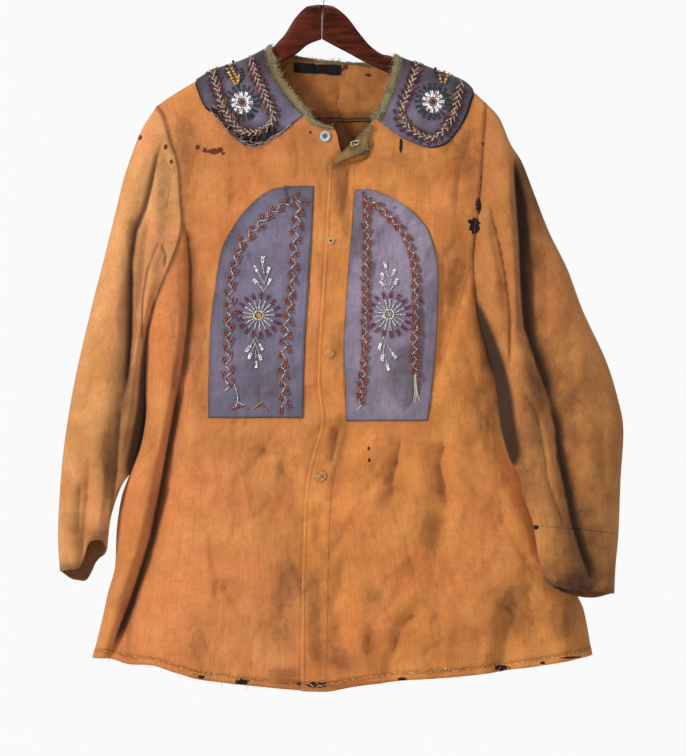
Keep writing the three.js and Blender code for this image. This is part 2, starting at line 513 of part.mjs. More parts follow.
function toManifold(geometry) {
  const bare = geometry.clone();
  bare.deleteAttribute("normal");
  bare.deleteAttribute("uv");
  const merged = mergeVertices(bare, 1e-4);
  return new wasm.Manifold(new wasm.Mesh({
    numProp: 3,
    vertProperties: new Float32Array(merged.attributes.position.array),
    triVerts: new Uint32Array(merged.index.array),
  }));
}

function fromManifold(manifold) {
  const mesh = manifold.getMesh();
  const geometry = new THREE.BufferGeometry();
  geometry.setAttribute("position", new THREE.BufferAttribute(new Float32Array(mesh.vertProperties), 3));
  geometry.setIndex(new THREE.BufferAttribute(new Uint32Array(mesh.triVerts), 1));
  return geometry;
}

// A piece that lies on others, cut back wherever it would come within the gap of them.
function clearOf(geometry, neighbours) {
  let solid = toManifold(geometry);
  for (const neighbour of neighbours) {
    solid = solid.subtract(neighbour);
  }
  const bodies = solid.decompose().sort((a, b) => b.volume() - a.volume());
  return fromManifold(bodies[0]);
}

const tunic = new THREE.Group();

function add(name, geometry, material) {
  const mesh = new THREE.Mesh(geometry, material);
  mesh.name = name;
  tunic.add(mesh);
  return mesh;
}

// ---- materials ----------------------------------------------------------------------------------

const canvas = new THREE.MeshStandardMaterial({ color: 0xc98242, roughness: 0.85, metalness: 0 });
const canvasInside = new THREE.MeshStandardMaterial({ color: 0x9d6635, roughness: 0.88, metalness: 0 });
const mauveCloth = new THREE.MeshStandardMaterial({ color: 0x6f6678, roughness: 0.85, metalness: 0 });
const oliveTape = new THREE.MeshStandardMaterial({ color: 0x7d6a3f, roughness: 0.9, metalness: 0 });
const blackCloth = new THREE.MeshStandardMaterial({ color: 0x0c0c0e, roughness: 0.8, metalness: 0 });
const paleButton = new THREE.MeshStandardMaterial({ color: 0xc9d3d6, roughness: 0.35, metalness: 0 });
const brownButton = new THREE.MeshStandardMaterial({ color: 0x8a5a34, roughness: 0.5, metalness: 0.2 });
const darkWood = new THREE.MeshStandardMaterial({ color: 0x5a2410, roughness: 0.3, metalness: 0 });
const steel = new THREE.MeshStandardMaterial({ color: 0xb4b6b8, roughness: 0.25, metalness: 1 });

// ---- fronts and back ----------------------------------------------------------------------------

const ARM_SHARE = 0.38; // the armhole's share of a panel's length

const panelRows = [
  ...ARMHOLE_STEPS.map((a) => a * ARM_SHARE),
  ...Array.from({ length: SKIRT_ROWS }, (_, i) => lerp(ARM_SHARE, 1, (i + 1) / SKIRT_ROWS)),
];
// Shoulder columns crowd towards the side, where the cloth rounds away.
const SHOULDER_STEPS = [0.16, 0.34, 0.52, 0.7, 0.86, 0.96, 1];
const NECK_STEPS = [0, 0.2, 0.42, 0.62, 0.82, 0.94, 0.98, 1];
const frontColumns = [...NECK_STEPS.map((s) => s / 2), ...SHOULDER_STEPS.map((s) => 0.5 + s / 2)];

// Top edge of a front: along the neckline to u = 0.5, then along the shoulder.
function frontTop(neckline, neckX, tipX) {
  return (u) => {
    if (u < 0.5) {
      return { x: read(neckline, "along", "x", u * 2), z: read(neckline, "along", "z", u * 2) };
    }
    const x = lerp(neckX, tipX, u * 2 - 1);
    return { x, z: shoulderZ(x) };
  };
}

// Side edge of a panel: the armhole, then the side seam to the hem.
function sideEdge(armhole, side, hemZ) {
  return (v) => {
    if (v <= ARM_SHARE) {
      const z = lerp(armhole[0].z, armhole.at(-1).z, v / ARM_SHARE);
      return { x: read(armhole, "z", "x", z), z };
    }
    const z = lerp(armhole.at(-1).z, hemZ, (v - ARM_SHARE) / (1 - ARM_SHARE));
    return { x: read(side, "z", "x", z), z };
  };
}

const hemZ = (x) => read(HEMLINE, "x", "z", x);

function hemEdge(fromX, toX) {
  return (u) => {
    const x = lerp(fromX, toX, u);
    return { x, z: hemZ(x) };
  };
}

const closingEnd = OVERLAP_EDGE.at(-1);

function closingEdge(top, shift) {
  return (v) => {
    const z = lerp(top.z, closingEnd.z, v);
    return { x: lerp(top.x, read(OVERLAP_EDGE, "z", "x", z) + shift, ease(v * 12)), z };
  };
}

const hemRightX = SIDE_RIGHT.at(-1).x;
const hemLeftX = SIDE_LEFT.at(-1).x;
const armholeRightEdge = sideEdge(ARMHOLE_RIGHT, SIDE_RIGHT, hemZ(hemRightX));
const armholeLeftEdge = sideEdge(ARMHOLE_LEFT, SIDE_LEFT, hemZ(hemLeftX));

const rightFrontPlan = coons(
  frontTop(NECKLINE_RIGHT, NECK_RIGHT_X, ARMHOLE_RIGHT[0].x),
  hemEdge(closingEnd.x + LAP, hemRightX),
  closingEdge(NECKLINE_RIGHT[0], LAP),
  armholeRightEdge,
);
const leftFrontPlan = coons(
  frontTop(NECKLINE_LEFT, NECK_LEFT_X, ARMHOLE_LEFT[0].x),
  hemEdge(closingEnd.x, hemLeftX),
  closingEdge(NECKLINE_LEFT[0], 0),
  armholeLeftEdge,
);

function backTop(u) {
  if (u < 1 / 3) {
    const x = lerp(ARMHOLE_RIGHT[0].x, NECK_RIGHT_X, u * 3);
    return { x, z: shoulderZ(x) };
  }
  if (u <= 2 / 3) {
    const along = u * 3 - 1;
    return { x: read(NECKLINE_BACK, "along", "x", along), z: read(NECKLINE_BACK, "along", "z", along) };
  }
  const x = lerp(NECK_LEFT_X, ARMHOLE_LEFT[0].x, u * 3 - 2);
  return { x, z: shoulderZ(x) };
}

const backPlan = coons(backTop, hemEdge(hemRightX, hemLeftX), armholeRightEdge, armholeLeftEdge);
const BACK_NECK_STEPS = [0, 0.02, 0.06, 0.27, 0.5, 0.73, 0.94, 0.98, 1];
const backColumns = [
  ...SHOULDER_STEPS.map((s) => (1 - s) / 3).reverse(),
  ...BACK_NECK_STEPS.map((s) => (1 + s) / 3),
  ...SHOULDER_STEPS.map((s) => (2 + s) / 3),
];

// A panel's outer points and normals.
function panel(plan, columns, surface) {
  const places = panelRows.map((v) => columns.map((u) => plan(u, v)));
  return {
    points: places.map((row) => row.map(({ x, z }) => pointOn(surface, x, z, 0))),
    normals: places.map((row) => row.map(({ x, z }) => normalOn(surface, x, z))),
  };
}

const rightFront = panel(rightFrontPlan, frontColumns, SURFACES.right);
const leftFront = panel(leftFrontPlan, frontColumns, SURFACES.left);
const back = panel(backPlan, backColumns, SURFACES.back);

const wallOf = (piece, wraps) => between(piece.points, moved(piece.points, piece.normals, -WALL), wraps);
// A panel with the gap added on both faces, which what lies on it keeps out of.
const grownOf = (piece) => toManifold(wallOf(piece, false)).add(toManifold(between(
  moved(piece.points, piece.normals, GAP), moved(piece.points, piece.normals, -WALL - GAP), false)));

add("front_right", wallOf(rightFront, false), canvas);
add("front_left", wallOf(leftFront, false), canvas);
add("back", wallOf(back, false), canvas);

const grown = { right: grownOf(rightFront), left: grownOf(leftFront), back: grownOf(back) };

// ---- sleeves ------------------------------------------------------------------------------------

// Column of a panel beside the armhole, shoulder to underarm.
function armholeOf(piece, columnIndex) {
  const rows = ARMHOLE_STEPS.length;
  return {
    points: piece.points.slice(0, rows).map((row) => row.at(columnIndex)),
    normals: piece.normals.slice(0, rows).map((row) => row.at(columnIndex)),
  };
}

// Point of a sleeve at a section, on its front (side -1) or back (side 1), for a share of the way
// from the outer edge to the inner edge.
function sleevePoint(sleeve, section, step, side) {
  const along = ARMHOLE_STEPS[step];
  const index = sleeve.sections.map((row, number) => ({ ...row, number }));
  const column = (name) => read(index, "number", name, section);
  const first = sleeve.sections[0];
  const seam = (side < 0 ? sleeve.front : sleeve.back).points[step];
  const bow = Math.max(1 - section / 4, 0) ** 2;
  const x = lerp(column("outer_x"), column("inner_x"), along)
    + (seam.x - lerp(first.outer_x, first.inner_x, along)) * bow;
  let z = lerp(column("outer_z"), column("inner_z"), along)
    + (seam.z - lerp(first.outer_z, first.inner_z, along)) * bow;
  const closing = Math.sqrt(1 - Math.abs(2 * along - 1) ** 2.6);
  const folds = side < 0 ? sleeve.frontFolds : sleeve.backFolds;
  const thickness = Math.max(column("half") + foldsAt(folds, x, z) * closing, 5) * closing;
  const middle = lerp(column("outer_y"), column("inner_y"), along);
  const last = sleeve.sections.length - 1;
  const end = read(sleeve.end, "along", side < 0 ? "front" : "back", along);
  z += (end - lerp(sleeve.sections[last].outer_z, sleeve.sections[last].inner_z, along))
    * ease(section - last + 1);
  const y = lerp(seam.y, middle + side * thickness, ease(section / 2.5));
  const edge = along === 0 || along === 1;
  return new THREE.Vector3(x, edge ? lerp(0, middle, ease(section / 2.5)) : y, z);
}

// Rings of a sleeve between two of its sections. The first ring of the whole sleeve takes the
// panels' own seam points and normals.
function sleeveRings(sleeve, sections) {
  const steps = ARMHOLE_STEPS.map((_, i) => i);
  const around = [...steps.map((i) => [i, -1]), ...steps.slice(1, -1).reverse().map((i) => [i, 1])];
  const points = sections.map((section) => around.map(([i, side]) => sleevePoint(sleeve, section, i, side)));
  const normals = tubeNormals(points);
  const probe = Math.floor(ARMHOLE_STEPS.length / 2);
  const way = -Math.sign(normals[Math.floor(points.length / 2)][probe].y);
  normals.forEach((row) => row.forEach((normal) => normal.multiplyScalar(way)));
  if (sections[0] === 0) {
    around.forEach(([i, side], j) => {
      points[0][j].x += sleeve.outward * ARM_SHIFT;
      normals[0][j].copy((side < 0 ? sleeve.front : sleeve.back).normals[i]);
    });
  }
  return { points, normals };
}

const rightSleeve = {
  sections: SLEEVE_RIGHT,
  end: END_RIGHT,
  outward: -1,
  front: armholeOf(rightFront, -1),
  back: armholeOf(back, 0),
  frontFolds: SLEEVE_RIGHT_FOLDS,
  backFolds: SLEEVE_BACK_FOLDS_RIGHT,
};
const leftSleeve = {
  sections: SLEEVE_LEFT,
  end: END_LEFT,
  outward: 1,
  front: armholeOf(leftFront, -1),
  back: armholeOf(back, -1),
  frontFolds: SLEEVE_LEFT_FOLDS,
  backFolds: SLEEVE_BACK_FOLDS_LEFT,
};

const count = (from, to) => Array.from({ length: to - from + 1 }, (_, i) => from + i);

add("sleeve_right", wallOf(sleeveRings(rightSleeve, [...count(0, 10), 10.6, 11]), true), canvas);
const aboveSeam = [...count(0, CUFF_SEAM - 1), CUFF_SEAM - SEAM_SHARE];
const belowSeam = [CUFF_SEAM + SEAM_SHARE, CUFF_SEAM + 1, CUFF_SEAM + 2];
add("sleeve_left", wallOf(sleeveRings(leftSleeve, aboveSeam), true), canvas);
add("cuff_left", wallOf(sleeveRings(leftSleeve, belowSeam), true), canvas);

// ---- neck trim ----------------------------------------------------------------------------------

// Extra rows on each side of the shoulder line, as shares of the way to the next row.
const CREST_STEPS = [0.04, 0.14, 0.4];

// Grid of points on the body from rows of two ends. A row is measured down from the shoulder line, and
// the back counts as less than nothing, so that rows pass smoothly over the shoulder.
function trimGrid(rows, from, to, steps, front, lift) {
  const drop = (row, name) => (shoulderZ(row[`${name}_x`]) - row[`${name}_z`]) * (row.back ? -1 : 1);
  const crest = rows.findIndex((row) => row.back) - 1;
  const ends = rows.map((row) => ({
    x0: row[`${from}_x`], x1: row[`${to}_x`], down0: drop(row, from), down1: drop(row, to),
  }));
  ends[crest].down0 = 0;
  ends[crest].down1 = 0;
  const numbers = rows.flatMap((_, i) => {
    if (i === crest - 1) return [i, ...CREST_STEPS.map((t) => i + 1 - t).reverse()];
    return i === crest ? [i, ...CREST_STEPS.map((t) => i + t)] : [i];
  });
  return numbers.map((number) => {
    const first = ends[Math.floor(number)];
    const next = ends[Math.min(Math.floor(number) + 1, ends.length - 1)];
    const part = number - Math.floor(number);
    return steps.map((t) => {
      const x = lerp(lerp(first.x0, next.x0, part), lerp(first.x1, next.x1, part), t);
      const down = lerp(lerp(first.down0, next.down0, part), lerp(first.down1, next.down1, part), t);
      return pointOn(down < 0 ? SURFACES.back : front, x, shoulderZ(x) - Math.abs(down), lift);
    });
  });
}

function trimPiece(rows, from, to, steps, front, neighbours) {
  const low = trimGrid(rows, from, to, steps, front, TRIM_LIFT);
  const high = trimGrid(rows, from, to, steps, front, TRIM_LIFT + TRIM_WALL);
  return clearOf(between(high, low, false), neighbours);
}

const COLLAR_STEPS = [0, 0.2, 0.4, 0.6, 0.8, 1];
// The binding stops this far short of the collar's seam.
const BINDING_STEPS = [0.2, 0.55, 0.92];
const CORNER_STEPS = [0, 0.5, 1];
const FACING_STEPS = [0, 0.17, 0.33, 0.5, 0.67, 0.83, 1];

const underRight = [grown.right, grown.back];
const underLeft = [grown.left, grown.back];
const boundRight = [...TRIM_RIGHT_END, ...TRIM_RIGHT];
add("collar_right", trimPiece(TRIM_RIGHT, "seam", "outer", COLLAR_STEPS, SURFACES.right, underRight), mauveCloth);
add("collar_left", trimPiece(TRIM_LEFT, "seam", "outer", COLLAR_STEPS, SURFACES.left, underLeft), mauveCloth);
const bindingRight = trimPiece(boundRight, "edge", "seam", BINDING_STEPS, SURFACES.right, underRight);
const bindingLeft = trimPiece(TRIM_LEFT, "edge", "seam", BINDING_STEPS, SURFACES.left, underLeft);
add("neck_binding_right", bindingRight, oliveTape);
add("neck_binding_left", bindingLeft, oliveTape);

// ---- chest patches, turned corner, facing and label -----------------------------------------------

// Grid of points on a surface, from one end of each row to the other.
function rowsOn(surface, ends, steps, lift) {
  return ends.map(([x0, z0, x1, z1]) => steps.map(
    (t) => pointOn(surface, lerp(x0, x1, t), lerp(z0, z1, t), lift)));
}

function plate(surface, ends, steps, low, high) {
  return between(rowsOn(surface, ends, steps, high), rowsOn(surface, ends, steps, low), false);
}

const PATCH_STEPS = [0, 0.15, 0.32, 0.5, 0.68, 0.85, 1];
const patchEnds = (rows) => rows.map((row) => [row.outer, row.z, row.inner, row.z]);

const patchTop = TRIM_LIFT + TRIM_WALL;
const patchRight = plate(SURFACES.right, patchEnds(PATCH_RIGHT), PATCH_STEPS, TRIM_LIFT, patchTop);
const patchLeft = plate(SURFACES.left, patchEnds(PATCH_LEFT), PATCH_STEPS, TRIM_LIFT, patchTop);
add("patch_right", clearOf(patchRight, [grown.right]), mauveCloth);
add("patch_left", clearOf(patchLeft, [grown.left]), mauveCloth);

const cornerEnds = CORNER.map((row) => [row.fold_x, row.fold_z, row.free_x, row.free_z]);
const corner = plate(SURFACES.left, cornerEnds, CORNER_STEPS, TRIM_LIFT, TRIM_LIFT + WALL);
add("front_left_corner", clearOf(corner, [grown.left]), canvas);

const facingEnds = FACING.map((row) => [row.left, row.z, row.right, row.z]);
const facingTop = -WALL - TRIM_LIFT;
const facingUnder = facingTop - TRIM_WALL;
const facing = plate(SURFACES.back, facingEnds, FACING_STEPS, facingUnder, facingTop);
add("back_facing", clearOf(facing, [grown.back]), canvasInside);

const labelEnds = [LABEL.top, LABEL.bottom].map(
  (z) => [LABEL.x0, z, LABEL.x1, z + LABEL.tilt * (LABEL.x1 - LABEL.x0)]);
const labelTop = facingUnder - 2 * GAP;
const label = plate(SURFACES.back, labelEnds, LABEL_STEPS, labelTop - LABEL_WALL, labelTop);
add("label", label, blackCloth);

// ---- buttons --------------------------------------------------------------------------------------

// Profiles are {r, h} from the axis out and back, h away from the cloth.
const DISHED_BUTTON = [
  { r: 0, h: 0 }, { r: 5.6, h: 0 }, { r: 7.2, h: 0.8 }, { r: 7.4, h: 2 }, { r: 6.2, h: 3 },
  { r: 4.2, h: 2.6 },
  { r: 2.4, h: 1.4 }, { r: 0, h: 1.2 },
];
const STUD_RING = [
  { r: 0, h: 0 }, { r: 4, h: 0 }, { r: 4.4, h: 0.7 }, { r: 3.4, h: 1.5 }, { r: 2.2, h: 0.9 },
  { r: 0, h: 0.7 },
];
const COVERED_BUTTON = [
  { r: 0, h: 0 }, { r: 6, h: 0 }, { r: 6.6, h: 0.8 }, { r: 5.2, h: 1.8 }, { r: 2.4, h: 2.4 },
  { r: 0, h: 2.5 },
];
const KNOB_BUTTON = [
  { r: 0, h: 0 }, { r: 7.6, h: 0 }, { r: 8, h: 1 }, { r: 7, h: 1.8 }, { r: 4.4, h: 1.4 }, { r: 3.2, h: 1.8 },
  { r: 3, h: 3 }, { r: 1.6, h: 3.8 }, { r: 0, h: 3.9 },
];
const BUTTONS = [
  { name: "button_top", x: 6, z: -258, surface: SURFACES.right, profile: DISHED_BUTTON, material: paleButton },
  { name: "button_upper", x: 14, z: -405, surface: SURFACES.left, profile: STUD_RING, material: brownButton },
  { name: "button_middle", x: 12, z: -562, surface: SURFACES.left, profile: COVERED_BUTTON, material: canvas },
  { name: "button_lower", x: 0, z: -733, surface: SURFACES.left, profile: KNOB_BUTTON, material: brownButton },
];

for (const button of BUTTONS) {
  const profile = button.profile.map((point) => new THREE.Vector2(point.r, point.h));
  const lathe = new THREE.LatheGeometry(profile, 18);
  const seat = pointOn(button.surface, button.x, button.z, 0.8);
  const above = pointOn(button.surface, button.x, button.z, 1.8);
  const way = above.sub(seat).normalize();
  const turn = new THREE.Quaternion().setFromUnitVectors(new THREE.Vector3(0, 1, 0), way);
  const mesh = add(button.name, lathe, button.material);
  mesh.quaternion.copy(turn);
  mesh.position.copy(seat);
}

// ---- hanger and hook --------------------------------------------------------------------------------

// One arm of the hanger, an outline in the XZ plane: the top from the joint, along the shoulder to the
// tip, and back along the underside.
function hangerArm(top, under, tipX, jointX) {
  const seatX = top.at(-1).x;
  const seats = [0.25, 0.5, 0.75, 0.94].map((t) => {
    const x = lerp(seatX, tipX, t);
    return { x, z: shoulderZ(x) - HANGER_SEAT };
  });
  const vectors = (points) => points.map((p) => new THREE.Vector2(p.x, p.z));
  const shape = new THREE.Shape();
  shape.moveTo(jointX, WOOD_TOP_Z);
  shape.splineThru(vectors([...top, ...seats]));
  shape.lineTo(tipX, (seats.at(-1).z + under[0].z) / 2);
  shape.lineTo(under[0].x, under[0].z);
  shape.splineThru(vectors([...under.slice(1), { x: jointX, z: HANGER_CENTRE_UNDER_Z }]));
  const geometry = new THREE.ExtrudeGeometry(shape, {
    depth: HANGER_THICKNESS - 2 * HANGER_EDGE,
    bevelThickness: HANGER_EDGE,
    bevelSize: HANGER_EDGE,
    bevelOffset: -HANGER_EDGE,
    bevelSegments: 3,
    curveSegments: 2,
  });
  geometry.translate(0, 0, HANGER_EDGE - HANGER_THICKNESS / 2);
  return geometry.rotateX(Math.PI / 2);
}

const stemHole = new THREE.CylinderGeometry(HOOK_RADIUS + GAP, HOOK_RADIUS + GAP, 40, 16);
stemHole.rotateX(Math.PI / 2);
stemHole.translate(HANGER_JOINT_X, 0, WOOD_TOP_Z - STEM_DEPTH - GAP + 20);
const hole = toManifold(stemHole);

function drilled(arm) {
  return fromManifold(toManifold(arm).subtract(hole));
}

const armRight = hangerArm(HANGER_RIGHT_TOP, HANGER_RIGHT_UNDER, HANGER_RIGHT_TIP, HANGER_JOINT_X - GAP / 2);
const armLeft = hangerArm(HANGER_LEFT_TOP, HANGER_LEFT_UNDER, HANGER_LEFT_TIP, HANGER_JOINT_X + GAP / 2);
add("hanger_right", drilled(armRight), darkWood);
add("hanger_left", drilled(armLeft), darkWood);

const bend = HOOK_INNER + HOOK_RADIUS;
const onBend = (degrees) => {
  const angle = THREE.MathUtils.degToRad(degrees);
  return new THREE.Vector3(bend * Math.cos(angle), 0, -HOOK_INNER + bend * Math.sin(angle));
};
const hookPath = new THREE.CatmullRomCurve3([
  new THREE.Vector3(HANGER_JOINT_X, 0, WOOD_TOP_Z - STEM_DEPTH),
  new THREE.Vector3(HANGER_JOINT_X, 0, WOOD_TOP_Z),
  new THREE.Vector3(HANGER_JOINT_X, 0, -52),
  ...[-62, -35, 0, 35, 65, 90, 115, 145, 180, 205].map(onBend),
]);
const wireRound = new THREE.EllipseCurve(0, 0, HOOK_RADIUS, HOOK_RADIUS).getPoints(8);
const wire = new THREE.Shape(wireRound.slice(0, -1));
add("hook", new THREE.ExtrudeGeometry(wire, { steps: 36, extrudePath: hookPath }), steel);

export default tunic;
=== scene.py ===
"""Beaded canvas tunic on a wooden hanger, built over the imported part.

Arrays hold millimetres, and meshes get metres. The front faces -Y, and the wearer's left is at +X.
"""

import bpy
import numpy as np
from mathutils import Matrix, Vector


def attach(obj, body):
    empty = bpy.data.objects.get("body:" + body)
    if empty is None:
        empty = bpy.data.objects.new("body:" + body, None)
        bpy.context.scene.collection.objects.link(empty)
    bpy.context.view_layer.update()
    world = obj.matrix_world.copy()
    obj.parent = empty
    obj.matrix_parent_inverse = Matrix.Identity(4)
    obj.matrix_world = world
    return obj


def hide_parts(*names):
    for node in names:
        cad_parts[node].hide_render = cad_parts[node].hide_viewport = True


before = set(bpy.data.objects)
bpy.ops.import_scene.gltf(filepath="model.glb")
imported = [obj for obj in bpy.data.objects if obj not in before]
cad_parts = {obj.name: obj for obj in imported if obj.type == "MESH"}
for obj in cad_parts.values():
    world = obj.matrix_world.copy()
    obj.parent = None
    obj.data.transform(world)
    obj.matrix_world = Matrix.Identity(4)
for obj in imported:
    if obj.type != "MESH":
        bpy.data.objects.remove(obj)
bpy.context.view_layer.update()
scene = bpy.context.scene

# ---- Hanger ----------------------------------------------------------------------------------
# Two arms of dark varnished hardwood, sawn to a curve, rounded over and glued at the centre.
# The cloth hangs on their upper edges.

MM = 0.001
HANGER_RIGHT = {  # height of the upper and lower edge from the joint to the tip
    "top": [(0.8, -70), (-10, -71), (-22, -74), (-38, -91), (-51, -112), (-61, -123), (-69, -131.8),
            (-108, -153.8), (-148, -167.8), (-176, -182.8), (-205, -199.8), (-219, -212)],
    "under": [(0.8, -119), (-19, -127), (-35, -140), (-62, -153), (-108, -174), (-150, -191),
              (-190, -212), (-219, -230)],
}
HANGER_LEFT = {
    "top": [(1.2, -70), (10, -71), (20, -74), (37, -88), (53, -109), (69, -128), (85, -139.5), (98, -142.5),
            (117, -152.8), (148, -163.8), (184, -176.8), (196, -182.8), (206, -191)],
    "under": [(1.2, -119), (16, -127), (37, -138), (61, -151), (100, -169), (140, -187), (180, -205),
              (206, -217)],
}


def through(rows, at):
    """Smooth curve through (place, value) rows: a cubic between each two rows, whose slope at a row is
    that of the chord between the rows on either side of it."""
    place, value = np.array(rows, float).T
    if place[0] > place[-1]:
        place, value = place[::-1], value[::-1]
    at = np.clip(at, place[0], place[-1])
    index = np.arange(len(place))
    low, high = np.maximum(index - 1, 0), np.minimum(index + 1, len(place) - 1)
    slope = (value[high] - value[low]) / (place[high] - place[low])
    j = np.clip(np.searchsorted(place, at, side="right"), 1, len(place) - 1)
    span = place[j] - place[j - 1]
    t = (at - place[j - 1]) / span
    rise = t * t * (3 - 2 * t)
    return (value[j - 1] * (1 - rise) + value[j] * rise
            + span * (slope[j - 1] * t * (1 - t) ** 2 - slope[j] * t * t * (1 - t)))


def ease(value):
    """0 below 0, 1 above 1, and 3t² - 2t³ between."""
    t = np.clip(value, 0, 1)
    return t * t * (3 - 2 * t)


def outward(points, faces):
    """The faces, all turned round if the signed volume that they close is negative."""
    volume = 0.0
    for group in faces:
        a = points[group[:, 0]]
        for k in range(1, group.shape[1] - 1):
            volume += float((a * np.cross(points[group[:, k]], points[group[:, k + 1]])).sum())
    return faces if volume > 0 else [group[:, ::-1] for group in faces]


def mesh_piece(name, points, faces, materials, slots=None, uv=None, **attributes):
    """A smooth mesh in metres from points in millimetres. faces is a list of arrays, one a face size,
    slots the material number of each array, uv and attributes one value a point."""
    mesh = bpy.data.meshes.new(name)
    sizes = np.concatenate([np.full(len(group), group.shape[1]) for group in faces])
    corners = np.concatenate([group.ravel() for group in faces])
    mesh.vertices.add(len(points))
    mesh.vertices.foreach_set("co", (points * MM).astype(np.float32).ravel())
    mesh.loops.add(len(corners))
    mesh.loops.foreach_set("vertex_index", corners.astype(np.int32))
    mesh.polygons.add(len(sizes))
    mesh.polygons.foreach_set("loop_start", (np.cumsum(sizes) - sizes).astype(np.int32))
    mesh.update(calc_edges=True)
    mesh.validate()
    mesh.shade_smooth()
    for material in materials:
        mesh.materials.append(material)
    if slots:
        numbers = np.concatenate([np.full(len(group), slot) for group, slot in zip(faces, slots)])
        mesh.polygons.foreach_set("material_index", numbers.astype(np.int32))
    if uv is not None:
        layer = mesh.uv_layers.new(name="cloth")
        layer.data.foreach_set("uv", (uv[corners] * MM).astype(np.float32).ravel())
    for label, values in attributes.items():
        kind = "FLOAT_COLOR" if values.ndim == 2 else "FLOAT"
        field = mesh.attributes.new(label, kind, "POINT")
        if values.ndim == 2:
            rgba = np.concatenate([values, np.ones((len(values), 1))], axis=1)
            field.data.foreach_set("color", rgba.astype(np.float32).ravel())
        else:
            field.data.foreach_set("value", values.astype(np.float32))
    piece = bpy.data.objects.new(name, mesh)
    scene.collection.objects.link(piece)
    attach(piece, "root")
    return piece


def tube_faces(rows, columns):
    """Quads between the rings of a tube of rows x columns points, and one polygon over each end."""
    i, j = np.meshgrid(np.arange(rows - 1), np.arange(columns), indexing="ij")
    a, b = i * columns + j, i * columns + (j + 1) % columns
    quads = np.stack([a, b, b + columns, a + columns], axis=-1).reshape(-1, 4)
    start = np.arange(columns)[::-1][None, :]
    return [quads, start, start[:, ::-1] + (rows - 1) * columns]


def linear(hex_colour):
    """Linear red, green, blue and 1 of a colour written as on a paint card."""
    value = np.array([int(hex_colour[k:k + 2], 16) for k in (0, 2, 4)]) / 255
    return (*np.where(value > 0.04045, ((value + 0.055) / 1.055) ** 2.4, value / 12.92).tolist(), 1.0)


def wire(tree, kind, settings=None, **inputs):
    """A node with its settings, and its inputs given as values or as the sockets that feed them.
    An input's name is written with _ for a space, and a number after n stands for its place."""
    node = tree.nodes.new(kind)
    for label, value in (settings or {}).items():
        setattr(node, label, value)
    for label, value in inputs.items():
        place = int(label[1:]) if label[0] == "n" and label[1:].isdigit() else label.replace("_", " ")
        if isinstance(value, bpy.types.NodeSocket):
            tree.links.new(value, node.inputs[place])
        else:
            node.inputs[place].default_value = value
    return node


def math(tree, operation, a, b=0.0, clamp=False):
    return wire(tree, "ShaderNodeMath", {"operation": operation, "use_clamp": clamp}, n0=a, n1=b).outputs[0]


def mix(tree, factor, a, b, blend="MIX"):
    node = wire(tree, "ShaderNodeMix", {"data_type": "RGBA", "blend_type": blend}, n0=factor, n6=a, n7=b)
    return node.outputs[2]


def noise(tree, vector, scale, detail=3.0, roughness=0.55, stretch=None):
    """Noise of a scale in cells a metre, stretched by a Mapping node's scale if that is given."""
    if stretch:
        vector = wire(tree, "ShaderNodeMapping", Vector=vector, Scale=stretch).outputs[0]
    return wire(tree, "ShaderNodeTexNoise", Vector=vector, Scale=scale, Detail=detail,
                Roughness=roughness).outputs[0]


def ramp(tree, value, low, high, start=0.0, end=1.0):
    """The value carried from low..high to start..end, smoothly and clamped."""
    return wire(tree, "ShaderNodeMapRange", {"interpolation_type": "SMOOTHSTEP"}, Value=value, n1=low, n2=high,
                n3=start, n4=end).outputs[0]


def new_material(name):
    """A material with nodes, its tree and its Principled shader."""
    material = bpy.data.materials.new(name)
    material.use_nodes = True
    return material, material.node_tree, material.node_tree.nodes["Principled BSDF"]


def bumped(tree, shader, height, strength, distance):
    bump = wire(tree, "ShaderNodeBump", Strength=strength, Distance=distance, Height=height)
    tree.links.new(bump.outputs[0], shader.inputs["Normal"])


def varnished_wood():
    """Grain lines along the arms, darkened by open pores, under a worn clear varnish."""
    material, tree, shader = new_material("varnished_wood")
    place = wire(tree, "ShaderNodeTexCoord").outputs["Object"]
    grain = noise(tree, place, 1.0, 5.0, 0.6, (26.0, 160.0, 150.0))
    pores = noise(tree, place, 1.0, 3.0, 0.5, (90.0, 900.0, 900.0))
    cloudy = noise(tree, place, 14.0, 2.0)
    colour = mix(tree, ramp(tree, grain, 0.32, 0.7), linear("210903"), linear("5a1e08"))
    colour = mix(tree, ramp(tree, cloudy, 0.45, 0.75, 0.0, 0.5), colour, linear("6e260b"))
    colour = mix(tree, ramp(tree, pores, 0.6, 0.75, 0.0, 0.6), colour, linear("1c0803"))
    tree.links.new(colour, shader.inputs["Base Color"])
    tree.links.new(ramp(tree, cloudy, 0.3, 0.8, 0.3, 0.5), shader.inputs["Roughness"])
    shader.inputs["Coat Weight"].default_value = 0.06
    shader.inputs["Specular IOR Level"].default_value = 0.18
    shader.inputs["Coat Roughness"].default_value = 0.12
    bumped(tree, shader, math(tree, "ADD", math(tree, "MULTIPLY", grain, 0.6), pores), 0.25, 0.0004)
    return material


